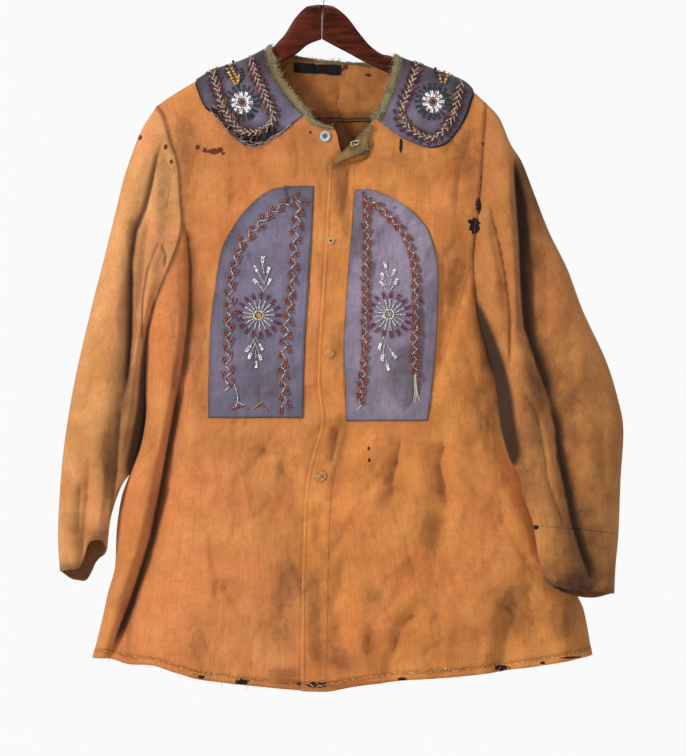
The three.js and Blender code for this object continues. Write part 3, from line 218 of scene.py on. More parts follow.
def hanger_arm(name, edges, material):
    """One arm: at each x a rounded oblong ring, |y/7|^3.2 + |z/half|^3.2 = 1, between the two edges.
    The rings shrink over the last few millimetres so that the tip is rounded."""
    first, last = edges["top"][0][0], edges["top"][-1][0]
    run = np.concatenate([np.linspace(0, 0.93, 76), 1 - 0.07 * np.cos(np.linspace(0.1, 1.56, 14))])
    x = first + (last - first) * run
    top, under = through(edges["top"], x), through(edges["under"], x)
    from_tip = np.abs(last - x) / 9
    close = np.sqrt(np.clip(1 - (1 - np.clip(from_tip, 0, 1)) ** 2, 0.001, 1))
    angle = np.linspace(0, 2 * np.pi, 28, endpoint=False)
    round_off = lambda v: np.sign(v) * np.abs(v) ** (2 / 3.2)
    y = 7 * close[:, None] * round_off(np.cos(angle))
    z = ((top + under) / 2)[:, None] + (close * (top - under) / 2)[:, None] * round_off(np.sin(angle))
    points = np.stack([np.broadcast_to(x[:, None], y.shape), y, z], axis=-1).reshape(-1, 3)
    return mesh_piece(name, points, outward(points, tube_faces(*y.shape)), [material])


wood = varnished_wood()
for node_name, edges in (("hanger_right", HANGER_RIGHT), ("hanger_left", HANGER_LEFT)):
    arm = hanger_arm("wooden_" + node_name, edges, wood)
    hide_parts(node_name)

# ---- Hook ------------------------------------------------------------------------------------
# Bright steel wire, bent to a half round and driven into the joint of the arms.

HOOK_WIRE = 1.75
HOOK_INNER = 19


def tube_along(path, radius, sides=10):
    """Rings of a round tube along a path of points. Each ring stands square to the path, from a side
    vector that is carried on along it."""
    path = np.asarray(path, float)
    way = np.gradient(path, axis=0)
    way /= np.linalg.norm(way, axis=1, keepdims=True)
    helper = np.where(np.abs(way[:, 1:2]) < 0.9, [[0.0, 1.0, 0.0]], [[1.0, 0.0, 0.0]])
    side = np.cross(way, helper)
    side /= np.linalg.norm(side, axis=1, keepdims=True)
    other = np.cross(way, side)
    angle = np.linspace(0, 2 * np.pi, sides, endpoint=False)
    radius = np.broadcast_to(radius, (len(path),))[:, None, None]
    ring = side[:, None] * np.cos(angle)[:, None] + other[:, None] * np.sin(angle)[:, None]
    return path[:, None] + radius * ring


bend = HOOK_INNER + HOOK_WIRE
turns = np.radians(np.linspace(-62, 205, 60))
arc = np.stack([bend * np.cos(turns), 0 * turns, -HOOK_INNER + bend * np.sin(turns)], axis=1)
rise = ease(np.linspace(0, 1, 24))
stem = np.stack([1 + (arc[0, 0] - 1) * rise ** 1.6, 0 * rise, np.linspace(-85, arc[0, 2], 24)], axis=1)
rings = tube_along(np.concatenate([stem[:-1], arc]), HOOK_WIRE, 14)
points = rings.reshape(-1, 3)
steel, tree, shader = new_material("steel_wire")
place = wire(tree, "ShaderNodeTexCoord").outputs["Object"]
rubbed = noise(tree, place, 300.0, 3.0)
tree.links.new(mix(tree, rubbed, linear("8f9092"), linear("d3d4d6")), shader.inputs["Base Color"])
tree.links.new(ramp(tree, rubbed, 0.3, 0.8, 0.16, 0.36), shader.inputs["Roughness"])
shader.inputs["Metallic"].default_value = 1.0
hook = mesh_piece("wire_hook", points, outward(points, tube_faces(*rings.shape[:2])), [steel])
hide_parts("hook")

# ---- Hanging cloth ---------------------------------------------------------------------------
# The tunic is cut from ochre canvas: two fronts and a back, joined over the shoulders and down the
# sides. It hangs from the hanger, comes away from it below the shoulders, and falls in soft folds.

WALL = 1.4
HALF_GAP = 0.15
CENTRE = 10
ROLL = 9
SHOULDER = [(-300, -262), (-232, -213.6), (-205, -195), (-176, -178), (-148, -163), (-108, -149),
            (-81, -136), (-70, -127.5), (17, -100), (103, -140.5), (117, -148), (148, -159), (184, -172),
            (204, -182), (217, -195), (232, -208.6), (300, -270)]
SIDE_RIGHT = [(-205, -300), (-300, -285), (-400, -262), (-460, -250), (-509, -244), (-557, -247),
              (-613, -248), (-650, -247.5), (-690, -254), (-713, -262), (-745, -275), (-767, -282),
              (-809, -288), (-865, -291), (-897, -300), (-938, -309), (-990, -322)]
SIDE_LEFT = [(-205, 310), (-300, 280), (-400, 245), (-450, 229), (-491, 220), (-519, 224), (-561, 236.5),
             (-585, 246), (-613, 256), (-651, 266), (-700, 280), (-767, 308), (-851, 342), (-900, 360),
             (-923, 370), (-986, 382)]
ARMHOLE_RIGHT = [(-213.6, -232), (-222, -225), (-241, -218), (-261, -213), (-290, -203), (-318, -199),
                 (-350, -197), (-374, -195), (-405, -200), (-434, -211), (-451, -218), (-497, -237),
                 (-509, -244)]
ARMHOLE_LEFT = [(-208.6, 232), (-242, 230), (-267, 228), (-329, 224), (-382, 218), (-434, 214),
                (-473, 217), (-491, 220)]
OVERLAP_EDGE = [(-240, 14), (-300, 11), (-403, 6), (-501, 0), (-599, -5), (-659, 0), (-697, -10),
                (-741, -20), (-795, -24), (-907, -27), (-1031, -28)]
HEMLINE = [(-322, -990), (-297, -990), (-270, -997), (-234, -998), (-203, -1007), (-169, -1016),
           (-73, -1027), (5, -1032), (41, -1026), (105, -1018), (188, -1012), (287, -1001), (382, -986)]
# Main folds: start, end, bow of the middle towards +X, widths of the two sides, depth (ridges above 0),
# sharpness, and the tapered parts of the length.
FRONT_FOLDS = [
    (-192, -360, -218, -707, 20, 15, 34, -16, 1.5, 0.35, 0),
    (-218, -707, -300, -1000, 9, 12, 46, -30, 1.4, 0, 0),
    (-238, -560, -262, -760, 10, 16, 18, 9, 2, 0.4, 0.3),
    (-276, -800, -312, -1000, 2, 16, 13, 14, 2, 0.4, 0),
    (222, -400, 148, -660, -8, 24, 16, -10, 1.6, 0.2, 0.5),
    (169, -640, 156, -880, 12, 34, 10, -13, 1.3, 0.3, 0.5),
    (228, -560, 276, -760, -4, 22, 34, -14, 1.6, 0.3, 0.4),
    (120, -660, 104, -830, -9, 18, 26, -8, 1.5, 0.4, 0.5),
    (145, -890, 92, -1020, -6, 20, 34, -13, 1.6, 0.5, 0),
    (284, -880, 248, -1010, -5, 16, 40, -20, 1.6, 0.5, 0),
    (-172, -740, -80, -985, -8, 40, 24, -11, 1.5, 0.4, 0.4),
    (-100, -670, -38, -810, 12, 26, 20, -7, 1.6, 0.5, 0.5),
    (36, -640, 12, -760, 8, 16, 26, -9, 1.4, 0.4, 0.5),
    (52, -790, 26, -1000, -10, 22, 30, -10, 1.6, 0.4, 0.2),
    (330, -880, 346, -1000, 4, 14, 16, 9, 2, 0.5, 0),
]
BACK_FOLDS = [
    (-206, -400, -232, -1010, 16, 26, 40, -20, 1.6, 0.4, 0),
    (-96, -300, -118, -1030, -12, 46, 34, -15, 1.7, 0.5, 0),
    (14, -520, 2, -1040, 10, 34, 44, -13, 1.7, 0.5, 0),
    (118, -280, 142, -1030, 14, 34, 46, -17, 1.6, 0.4, 0),
    (206, -430, 268, -1010, 12, 30, 34, -20, 1.5, 0.3, 0),
]
# Creases: depth (ridges above 0), widths of the two sides, and the places that they pass.
FRONT_CREASES = [
    (-9, 3, 26, [(-194, -372), (-189, -395), (-185, -435), (-186, -503), (-193, -562), (-199, -608)]),
    (-13, 3, 15, [(-196, -580), (-206, -640), (-215, -690), (-223, -735), (-231, -776), (-240, -822),
                  (-254, -867), (-268, -910), (-284, -950), (-299, -992)]),
    (5, 10, 7, [(-206, -420), (-199, -500), (-204, -570), (-219, -650), (-233, -720), (-242, -770),
                (-254, -822), (-272, -875), (-288, -920)]),
    (-6, 6, 4, [(-266, -702), (-250, -706), (-228, -690)]),
    (4, 9, 14, [(-168, -420), (-166, -500), (-172, -590), (-182, -680), (-192, -750)]),
    (-3.4, 5, 14, [(-171, -785), (-155, -820), (-153, -847), (-140, -883), (-117, -919), (-91, -945), (-68, -968)]),
    (-3.6, 5, 9, [(-146, -669), (-131, -686), (-113, -693)]),
    (-3.2, 9, 6, [(-86, -686), (-77, -704), (-42, -700)]),
    (-3.4, 7, 9, [(-59, -713), (-42, -744), (-33, -771), (-42, -789)]),
    (-6.5, 12, 4, [(24, -664), (21, -691), (14, -718)]),
    (-5, 14, 4, [(112, -677), (106, -718), (98, -749)]),
    (-2.5, 8, 5, [(98, -749), (108, -802)]),
    (-6.5, 16, 3.5, [(171, -682), (173, -695), (167, -713), (172, -744), (177, -771), (170, -789)]),
    (-5, 16, 4, [(172, -786), (162, -825), (158, -865), (155, -880)]),
    (-2.6, 5, 9, [(95, -860), (88, -892), (75, -945), (70, -968)]),
    (-4.6, 5, 16, [(272, -890), (258, -914), (255, -941), (254, -970)]),
    (-4.2, 12, 4, [(266, -905), (289, -932), (311, -959)]),
    (-4.5, 10, 6, [(345, -915), (349, -963)]),
    (-3.6, 5, 14, [(142, -919), (119, -932), (104, -950), (101, -985)]),
    (-2.6, 4, 8, [(249, -789), (266, -816), (298, -870)]),
    # A groove under the turned corner's free edge, darkened by the creases' painted shade.
    (-6, 5, 2.5, [(12, -302), (38, -298), (61, -289), (73, -262)]),
    (-4, 3, 8, [(40, -300), (37, -330), (30, -372)]),
    (-3, 8, 10, [(-81, -921), (-71, -959)]),
    (-3.5, 7, 7, [(8, -855), (31, -819), (41, -795)]),
    (-3, 7, 8, [(22, -939), (36, -977)]),
    (-5, 14, 6, [(218, -417), (190, -511), (167, -581), (153, -637)]),
    (-4, 8, 10, [(237, -613), (260, -659), (274, -707)]),
    (-3.4, 6, 8, [(196, -395), (172, -430), (168, -520)]),
    (-3, 7, 9, [(205, -560), (222, -620), (228, -690)]),
    (-2.6, 8, 8, [(-128, -290), (-120, -330), (-128, -372)]),
    (-3, 7, 7, [(-36, -250), (-30, -290), (-34, -320)]),
    (-3, 9, 7, [(140, -285), (150, -320), (178, -352)]),
    (-2.6, 6, 6, [(214, -250), (196, -300), (190, -360)]),
    (-3, 6, 9, [(-60, -665), (-92, -720), (-124, -745)]),
    (-5, 3, 6, [(-50, -330), (-45, -344), (-38, -356)]),
    (-3.4, 4, 7, [(-100, -420), (-92, -444)]),
    (-3.6, 6, 4, [(-49, -582), (-31, -596)]),
    (-3.6, 4, 6, [(-96, -580), (-80, -591)]),
    (-3.2, 5, 5, [(-84, -604), (-84, -640)]),
    (-3.2, 5, 5, [(104, -356), (110, -374)]),
    (-3, 8, 5, [(140, -480), (146, -540), (138, -600)]),
]
BACK_CREASES = [
    (-6, 7, 14, [(-206, -430), (-190, -620), (-216, -820), (-232, -1000)]),
    (-4.5, 10, 9, [(-98, -360), (-118, -560), (-124, -800), (-118, -1010)]),
    (-4.5, 9, 10, [(120, -330), (146, -540), (152, -780), (142, -1010)]),
    (-6, 12, 7, [(208, -450), (246, -640), (262, -840), (268, -1000)]),
    (-3.6, 8, 8, [(-60, -620), (-20, -700), (-36, -800)]),
    (-3.6, 8, 8, [(60, -560), (40, -680), (64, -790)]),
    (-3, 7, 9, [(-150, -250), (-120, -320), (-140, -400)]),
    (-3, 9, 7, [(160, -240), (150, -320), (180, -400)]),
]


def fold_depth(folds, x, z):
    """Sum of the main folds. Each is depth * exp(-(d/width)^sharp), with d the distance from its bowed
    line, eased in and out along its length. Folds that meet end to end share the joint half and half."""
    total = np.zeros(np.broadcast(x, z).shape)
    for x0, z0, x1, z1, bow, left, right, depth, sharp, fade_in, fade_out in folds:
        length = np.hypot(x1 - x0, z1 - z0)
        way_x, way_z = (x1 - x0) / length, (z1 - z0) / length
        t = ((x - x0) * way_x + (z - z0) * way_z) / length
        inside = np.clip(t, 0, 1)
        across = (z - z0) * way_x - (x - x0) * way_z - bow * 4 * inside * (1 - inside)
        start = ease(t / fade_in) if fade_in else ease(0.5 + t * 6)
        end = ease((1 - t) / fade_out) if fade_out else ease(0.5 + (1 - t) * 6)
        total += depth * np.exp(-(np.abs(across) / np.where(across < 0, left, right)) ** sharp) * start * end
    return total


def crease_depth(creases, x, z, narrow=1.0):
    """Sum of the creases. Each is depth * exp(-(d/width)^1.3), with d the signed distance to its nearest
    stretch, faded over the first and last sixth of its length. narrow is a factor on the widths."""
    total = np.zeros(x.shape)
    for depth, left, right, places in creases:
        places = np.array(places, float)
        reach = 4 * max(left, right)
        near = ((x > places[:, 0].min() - reach) & (x < places[:, 0].max() + reach)
                & (z > places[:, 1].min() - reach) & (z < places[:, 1].max() + reach))
        px, pz = x[near], z[near]
        lengths = np.linalg.norm(np.diff(places, axis=0), axis=1)
        run = np.concatenate([[0], np.cumsum(lengths)]) / lengths.sum()
        best = np.full(px.shape, 1e9)
        signed, along = np.zeros(px.shape), np.zeros(px.shape)
        for k, length in enumerate(lengths):
            way = (places[k + 1] - places[k]) / length
            t = np.clip(((px - places[k, 0]) * way[0] + (pz - places[k, 1]) * way[1]) / length, 0, 1)
            dx, dz = px - places[k, 0] - way[0] * t * length, pz - places[k, 1] - way[1] * t * length
            distance = np.hypot(dx, dz)
            closer = distance < best
            best = np.where(closer, distance, best)
            signed = np.where(closer, dz * way[0] - dx * way[1], signed)
            along = np.where(closer, run[k] + (run[k + 1] - run[k]) * t, along)
        width = np.where(signed < 0, left, right) * narrow
        fade = ease(along * 6 + 0.15) * ease((1 - along) * 6 + 0.15)
        total[near] += depth * np.exp(-(best / width) ** 1.3) * fade
    return total


def scattered_creases(seed, number, box, depth):
    """Small creases strewn over a box, mostly upright, each of three places with a slight bend."""
    draw = np.random.default_rng(seed)
    made = []
    for _ in range(number):
        x, z = draw.uniform(box[0], box[1]), draw.uniform(box[2], box[3])
        angle = draw.normal(np.pi / 2, 0.75)
        length, turn = draw.uniform(22, 70), draw.normal(0, 0.35)
        middle = (x + length / 2 * np.cos(angle), z + length / 2 * np.sin(angle))
        end = (middle[0] + length / 2 * np.cos(angle + turn), middle[1] + length / 2 * np.sin(angle + turn))
        made.append((draw.choice([-1, 1], p=[0.7, 0.3]) * draw.uniform(0.4, 1) * depth,
                     draw.uniform(3.5, 8), draw.uniform(4, 12), [(x, z), middle, end]))
    return made


def crumple(seed, x, z, shortest=34, longest=150, waves=34):
    """Ridged cloth: 1 - |sum of plane waves| with random ways and lengths, about -0.5 to 0.5."""
    draw = np.random.default_rng(seed)
    total = np.zeros(x.shape)
    for _ in range(waves):
        length = np.exp(draw.uniform(np.log(shortest), np.log(longest)))
        angle = draw.normal(0.0, 0.8)
        total += (length / longest) ** 0.7 * np.sin(
            2 * np.pi * (x * np.cos(angle) + z * np.sin(angle)) / length + draw.uniform(0, 2 * np.pi))
    total /= total.std()
    return 0.5 - np.minimum(np.abs(total), 1.6) / 1.6


RELIEF_STEP = 1.6


def relief_map(creases, seed, box, height):
    """A function of x and z that reads, between the points of a grid worked out once, the height of
    creases and crumples over a box."""
    xs, zs = np.arange(box[0], box[1], RELIEF_STEP), np.arange(box[2], box[3], RELIEF_STEP)
    x, z = np.meshgrid(xs, zs, indexing="ij")
    crinkle = crumple(seed + 1, x, z, 14, 46, 40)
    field = crease_depth(creases, x, z) + height * crumple(seed, x, z) + 0.22 * height * crinkle

    def relief(px, pz):
        i = np.clip((px - xs[0]) / RELIEF_STEP, 0, len(xs) - 1.001)
        j = np.clip((pz - zs[0]) / RELIEF_STEP, 0, len(zs) - 1.001)
        a, b = i.astype(int), j.astype(int)
        u, v = ease(i - a) * 0.3 + (i - a) * 0.7, ease(j - b) * 0.3 + (j - b) * 0.7
        return (field[a, b] * (1 - u) * (1 - v) + field[a + 1, b] * u * (1 - v)
                + field[a, b + 1] * (1 - u) * v + field[a + 1, b + 1] * u * v)
    return relief


BODY_BOX = (-340, 400, -1050, -90)
FRONT_SMALL = scattered_creases(11, 150, (-230, 350, -1020, -640), 2.9)
FRONT_SMALL += scattered_creases(12, 46, (-200, 220, -620, -250), 1.7)
front_relief = relief_map(FRONT_CREASES + FRONT_SMALL, 21, BODY_BOX, 3.6)
back_relief = relief_map(BACK_CREASES + scattered_creases(13, 170, (-300, 360, -1020, -280), 1.4), 31,
                         BODY_BOX, 4.0)


def shoulder_z(x):
    return through(SHOULDER, x)


def body_depth(x, z, chest, hem, folds, relief):
    """Distance of the cloth's outside from the hanger's plane. The roll over the hanger is a quarter
    round; the fullness grows as 1 - e^(-drop/110); both round off to the side seams; folds and
    creases are added where the cloth hangs free."""
    top = shoulder_z(x)
    z = np.minimum(z, top)
    drop = top - z
    side = np.where(x < CENTRE, through(SIDE_RIGHT, z), through(SIDE_LEFT, z))
    reach = np.minimum((x - CENTRE) / (side - CENTRE), 1)
    roll = ROLL * np.sqrt(1 - (1 - np.minimum(drop / ROLL, 1)) ** 2)
    fullness = chest + (hem - chest) * ease((z + 509) / (-1020 + 509)) - ROLL
    full = roll * np.sqrt(1 - reach ** 8) + fullness * (1 - np.exp(-drop / 110)) * np.sqrt(1 - reach ** 2.6)
    loose = fold_depth(folds, x, z) * ease(drop / 80) + relief(x, z) * ease((drop - 6) / 60)
    return np.maximum(full + loose * (1 - reach ** 10), np.minimum(full, 6))


def right_front_depth(x, z):
    """The front, stepped back by the thickness of the left front where it runs under that."""
    edge = through(OVERLAP_EDGE, z)
    return body_depth(x, z, 40, 66, FRONT_FOLDS, front_relief) - 2.5 * ease((x - edge + 36) / 36)


def left_front_depth(x, z):
    """The front, stepped out over the edge of the right front below it."""
    edge = through(OVERLAP_EDGE, z)
    step = 1.5 * ease((edge + 78 - x) / 40)
    return body_depth(x, z, 40, 66, FRONT_FOLDS, front_relief) + step


def back_depth(x, z):
    return body_depth(x, z, 36, 58, BACK_FOLDS, back_relief)


SIDES = {right_front_depth: -1, left_front_depth: -1, back_depth: 1}


def on_cloth(depth, x, z, lift=0.0):
    """Points on a body panel at (x, z), moved out along its normal, and those normals."""
    x, z = np.broadcast_arrays(np.asarray(x, float), np.asarray(z, float))
    z = np.minimum(z, shoulder_z(x))
    step = 0.6
    here = depth(x, z)
    low, high = z - step, np.minimum(z + step, shoulder_z(x))
    slope_x = (depth(x + step, z) - depth(x - step, z)) / (2 * step)
    slope_z = (depth(x, high) - depth(x, low)) / (high - low)
    side = SIDES[depth]
    normal = np.stack([-slope_x, np.where(here < 0.3, 0.0, side), -slope_z], axis=-1)
    normal /= np.linalg.norm(normal, axis=-1, keepdims=True)
    point = np.stack([x, side * (here + HALF_GAP), z], axis=-1)
    return point + normal * np.asarray(lift, float)[..., None], normal


def coons(top, bottom, left, right, u, v):
    """Patch between four edge curves. Heights blend with v and places across with the root of v, so
    that the columns leave the neckline aslant."""
    def blend(axis, t):
        return ((1 - t) * top(u)[axis] + t * bottom(u)[axis] + (1 - u) * left(v)[axis] + u * right(v)[axis]
                - (1 - t) * ((1 - u) * top(0 * u)[axis] + u * top(0 * u + 1)[axis])
                - t * ((1 - u) * bottom(0 * u)[axis] + u * bottom(0 * u + 1)[axis]))
    return blend(0, np.sqrt(v)), blend(1, v)


def walled(outer, inner, wraps=False):
    """Points and faces of a closed cloth wall between two grids of the same size: the outer face, the
    inner face turned round, and the rim. A wrapped grid is a tube, open at its first and last row."""
    rows, columns = outer.shape[:2]
    half = rows * columns
    i, j = np.meshgrid(np.arange(rows - 1), np.arange(columns if wraps else columns - 1), indexing="ij")
    a, b = i * columns + j, i * columns + (j + 1) % columns
    face = np.stack([a, a + columns, b + columns, b], axis=-1).reshape(-1, 4)
    rims = []
    for line in (np.arange(columns), np.arange(columns) + half - columns):
        first, second = line, np.roll(line, -1)
        if not wraps:
            first, second = first[:-1], second[:-1]
        rims.append(np.stack([first, second, second + half, first + half], axis=-1))
    rims[1] = rims[1][:, ::-1]
    if not wraps:
        for column, turn in ((0, -1), (columns - 1, 1)):
            line = np.arange(rows) * columns + column
            rim = np.stack([line[:-1], line[1:], line[1:] + half, line[:-1] + half], axis=-1)
            rims.append(rim[:, ::turn])
    points = np.concatenate([outer.reshape(-1, 3), inner.reshape(-1, 3)])
    return points, outward(points, [face, face[:, ::-1] + half, np.concatenate(rims)])


def cloth_uv(grid):
    """Millimetres across and down the cloth, measured along the grid's own lines."""
    across = np.cumsum(np.linalg.norm(np.diff(grid, axis=1, prepend=grid[:, :1]), axis=2), axis=1)
    across -= across[:, across.shape[1] // 2][:, None]
    down = np.cumsum(np.linalg.norm(np.diff(grid, axis=0, prepend=grid[:1]), axis=2), axis=0)
    flat = np.stack([across, down], axis=-1).reshape(-1, 2)
    return np.concatenate([flat, flat])


# ---- Canvas ----------------------------------------------------------------------------------
# Cotton duck dyed ochre, paler along its ridges, with painted shade in its creases and gaps and soiling
# that is partly painted shade. The threads are a plain weave with slubs; old dark stains in drops lie on
# the fronts and sleeves, and a few torn holes there are painted as dark patches, painted shade of the
# inside.


def group(name, inputs, outputs):
    """A node group with float, colour or vector inputs and outputs; its input and output nodes."""
    tree = bpy.data.node_groups.new(name, "ShaderNodeTree")
    kinds = {"float": "NodeSocketFloat", "colour": "NodeSocketColor", "vector": "NodeSocketVector"}
    for label, kind in inputs:
        tree.interface.new_socket(name=label, in_out="INPUT", socket_type=kinds[kind])
    for label, kind in outputs:
        tree.interface.new_socket(name=label, in_out="OUTPUT", socket_type=kinds[kind])
    return tree, tree.nodes.new("NodeGroupInput"), tree.nodes.new("NodeGroupOutput")


def placed(tree, group_tree, **inputs):
    node = tree.nodes.new("ShaderNodeGroup")
    node.node_tree = group_tree
    for label, value in inputs.items():
        socket = node.inputs[label.replace("_", " ")]
        if isinstance(value, bpy.types.NodeSocket):
            tree.links.new(value, socket)
        else:
            socket.default_value = value
    return node


def weave_group():
    """Plain weave: the product of two sines, one along each thread, plus slubs, which are noise drawn
    out along the threads. Threads a metre set the pitch."""
    tree, source, out = group("Weave", [("Cloth", "vector"), ("Threads", "float")],
                              [("Height", "float"), ("Slub", "float")])
    cloth = source.outputs["Cloth"]
    apart = wire(tree, "ShaderNodeSeparateXYZ", Vector=cloth)
    turns = math(tree, "MULTIPLY", source.outputs["Threads"], 3.14159)
    warp = math(tree, "SINE", math(tree, "MULTIPLY", apart.outputs[0], turns))
    weft = math(tree, "SINE", math(tree, "MULTIPLY", apart.outputs[1], turns))
    down = noise(tree, cloth, 1.0, 3.0, 0.6, (420.0, 20.0, 1.0))
    across = noise(tree, cloth, 1.0, 3.0, 0.6, (16.0, 520.0, 1.0))
    slub = math(tree, "ADD", math(tree, "MULTIPLY", down, 0.6), math(tree, "MULTIPLY", across, 0.4))
    height = math(tree, "ADD", math(tree, "MULTIPLY", math(tree, "MULTIPLY", warp, weft), 0.5), slub)
    tree.links.new(height, out.inputs["Height"])
    tree.links.new(slub, out.inputs["Slub"])
    return tree


def spot_group():
    """A ragged spot: 1 where the distance from the centre, measured in sizes and shifted by noise, is
    under 1, with a soft rim."""
    tree, source, out = group("Spot", [("Place", "vector"), ("Centre", "vector"), ("Size", "vector"),
                                       ("Ragged", "float")], [("Mask", "float")])
    away = wire(tree, "ShaderNodeVectorMath", {"operation": "SUBTRACT"}, n0=source.outputs["Place"],
                n1=source.outputs["Centre"]).outputs[0]
    sized = wire(tree, "ShaderNodeVectorMath", {"operation": "DIVIDE"}, n0=away,
                 n1=source.outputs["Size"]).outputs[0]
    length = wire(tree, "ShaderNodeVectorMath", {"operation": "LENGTH"}, n0=sized).outputs["Value"]
    edge = math(tree, "SUBTRACT", noise(tree, source.outputs["Place"], 260.0, 3.0), 0.5)
    ragged = math(tree, "ADD", length, math(tree, "MULTIPLY", edge, source.outputs["Ragged"]))
    tree.links.new(ramp(tree, ragged, 1.08, 0.86), out.inputs["Mask"])
    return tree


def aged_shaded_group():
    """Ageing and painted shade of a dyed cloth: mottled between its two tones, paler on ridges, darkened
    by painted shade in creases and gaps and by soiling that noise breaks up; the soiling input carries
    some painted shade too. Stains dry where that input plus noise passes a level, with a dark rim there."""
    tree, source, out = group("AgedShaded", [("Place", "vector"), ("Pale", "colour"), ("Deep", "colour"),
                                       ("Soiled", "colour"), ("Hollow", "float"), ("Soil", "float"),
                                       ("Slub", "float")], [("Colour", "colour"), ("Roughness", "float")])
    place = source.outputs["Place"]
    broad = noise(tree, place, 5.0, 4.0, 0.6)
    blotch = noise(tree, place, 24.0, 5.0, 0.62)
    speck = noise(tree, place, 190.0, 4.0, 0.7)
    mottle = math(tree, "ADD", math(tree, "MULTIPLY", broad, 0.45), math(tree, "MULTIPLY", blotch, 0.55))
    colour = mix(tree, ramp(tree, mottle, 0.3, 0.7), source.outputs["Pale"], source.outputs["Deep"])
    # Paler on ridges and rims, where the shading input is below 0.
    worn = ramp(tree, source.outputs["Hollow"], 0.0, -1.0, 0.0, 0.4)
    colour = mix(tree, worn, colour, source.outputs["Pale"])
    shade = math(tree, "ADD", ramp(tree, source.outputs["Slub"], 0.38, 0.62, 0.9, 1.07),
                 ramp(tree, speck, 0.3, 0.7, -0.07, 0.05))
    grey = wire(tree, "ShaderNodeCombineXYZ", n0=shade, n1=shade, n2=shade).outputs[0]
    colour = mix(tree, 1.0, colour, grey, "MULTIPLY")
    broken = ramp(tree, math(tree, "ADD", math(tree, "MULTIPLY", blotch, 0.7), math(tree, "MULTIPLY", speck, 0.3)),
                  0.3, 0.66, 0.55, 1.05)
    ragged = math(tree, "MULTIPLY", math(tree, "SUBTRACT", noise(tree, place, 17.0, 6.0, 0.62), 0.5), 1.3)
    level = math(tree, "ADD", source.outputs["Soil"], ragged)
    stained = ramp(tree, level, 0.34, 0.42, 0.0, 0.1)
    rim = math(tree, "MULTIPLY", ramp(tree, level, 0.3, 0.36), ramp(tree, level, 0.42, 0.36))
    rim = math(tree, "MULTIPLY", rim, ramp(tree, source.outputs["Soil"], 0.06, 0.3, 0.0, 0.18))
    fleck = ramp(tree, noise(tree, place, 330.0, 2.0, 0.5), 0.7, 0.76, 0.0, 0.4)
    darkening = math(tree, "MULTIPLY", source.outputs["Soil"], broken)
    darkening = math(tree, "ADD", math(tree, "ADD", darkening, stained), math(tree, "ADD", rim, fleck), True)
    colour = mix(tree, darkening, colour, source.outputs["Soiled"])
    # Painted shade: where the shading input is above 0, the colour goes towards a near-black brown.
    painted_shade = ramp(tree, source.outputs["Hollow"], 0.1, 1.0, 0.0, 0.95)
    shade_colour = mix(tree, 0.8, source.outputs["Soiled"], linear("150803"))
    tree.links.new(mix(tree, painted_shade, colour, shade_colour), out.inputs["Colour"])
    tree.links.new(ramp(tree, darkening, 0.0, 1.0, 0.86, 0.74), out.inputs["Roughness"])
    return tree


weave, spot, aged_shaded = weave_group(), spot_group(), aged_shaded_group()
DUCK_THREADS = 1100.0


def spotted(tree, place, colour, spots, spot_colour):
    """Spots laid over a colour: centre x and z, half width and half height in millimetres, how ragged."""
    for x, z, wide, high, ragged in spots:
        mask = placed(tree, spot, Place=place, Centre=(x * MM, 0, z * MM), Size=(wide * MM, 1e3, high * MM),
                      Ragged=ragged).outputs["Mask"]
        colour = mix(tree, mask, colour, spot_colour)
    return colour


def canvas(name, pale, deep, soiled, drops=(), holes=()):
    """Weathered duck with painted shade, dark stains in drops, and torn holes painted as dark patches that
    stand for the shaded inside.
    """
    material, tree, shader = new_material(name)
    place = wire(tree, "ShaderNodeTexCoord").outputs["Object"]
    cloth = wire(tree, "ShaderNodeUVMap", {"uv_map": "cloth"}).outputs[0]
    threads = placed(tree, weave, Cloth=cloth, Threads=DUCK_THREADS)
    hollow = wire(tree, "ShaderNodeAttribute", {"attribute_name": "hollow"}).outputs["Fac"]
    soil = wire(tree, "ShaderNodeAttribute", {"attribute_name": "soil"}).outputs["Fac"]
    look = placed(tree, aged_shaded, Place=place, Pale=linear(pale), Deep=linear(deep), Soiled=linear(soiled),
                  Hollow=hollow, Soil=soil, Slub=threads.outputs["Slub"])
    rosy = ramp(tree, noise(tree, place, 7.0, 5.0, 0.6), 0.44, 0.6, 0.0, 0.75)
    colour = mix(tree, rosy, look.outputs["Colour"], (1.0, 0.86, 0.96, 1), "MULTIPLY")
    colour = spotted(tree, place, colour, drops, linear("5c2a0c"))
    # Holes: dark patches of painted shade, for the shaded inside seen through the tears.
    colour = spotted(tree, place, colour, holes, linear("180a06"))
    tree.links.new(colour, shader.inputs["Base Color"])
    tree.links.new(look.outputs["Roughness"], shader.inputs["Roughness"])
    shader.inputs["Sheen Weight"].default_value = 0.12
    shader.inputs["Specular IOR Level"].default_value = 0.25
    small = noise(tree, place, 130.0, 4.0, 0.6)
    height = math(tree, "ADD", math(tree, "MULTIPLY", threads.outputs["Height"], 0.22), small)
    bumped(tree, shader, height, 0.5, 0.0012)
    return material


FRONT_DROPS = [(-173, -273, 3.4, 3.6, 0.8), (-163, -277, 3.4, 4, 1.5), (-150, -279, 12, 4, 2), (-142, -277, 5, 4.6, 1.6),
               (-137, -282, 3, 2, 1.2), (-15, -253, 2, 2.4, 1), (67, -695, 2, 3, 1), (67.5, -711, 2, 3.2, 1)]
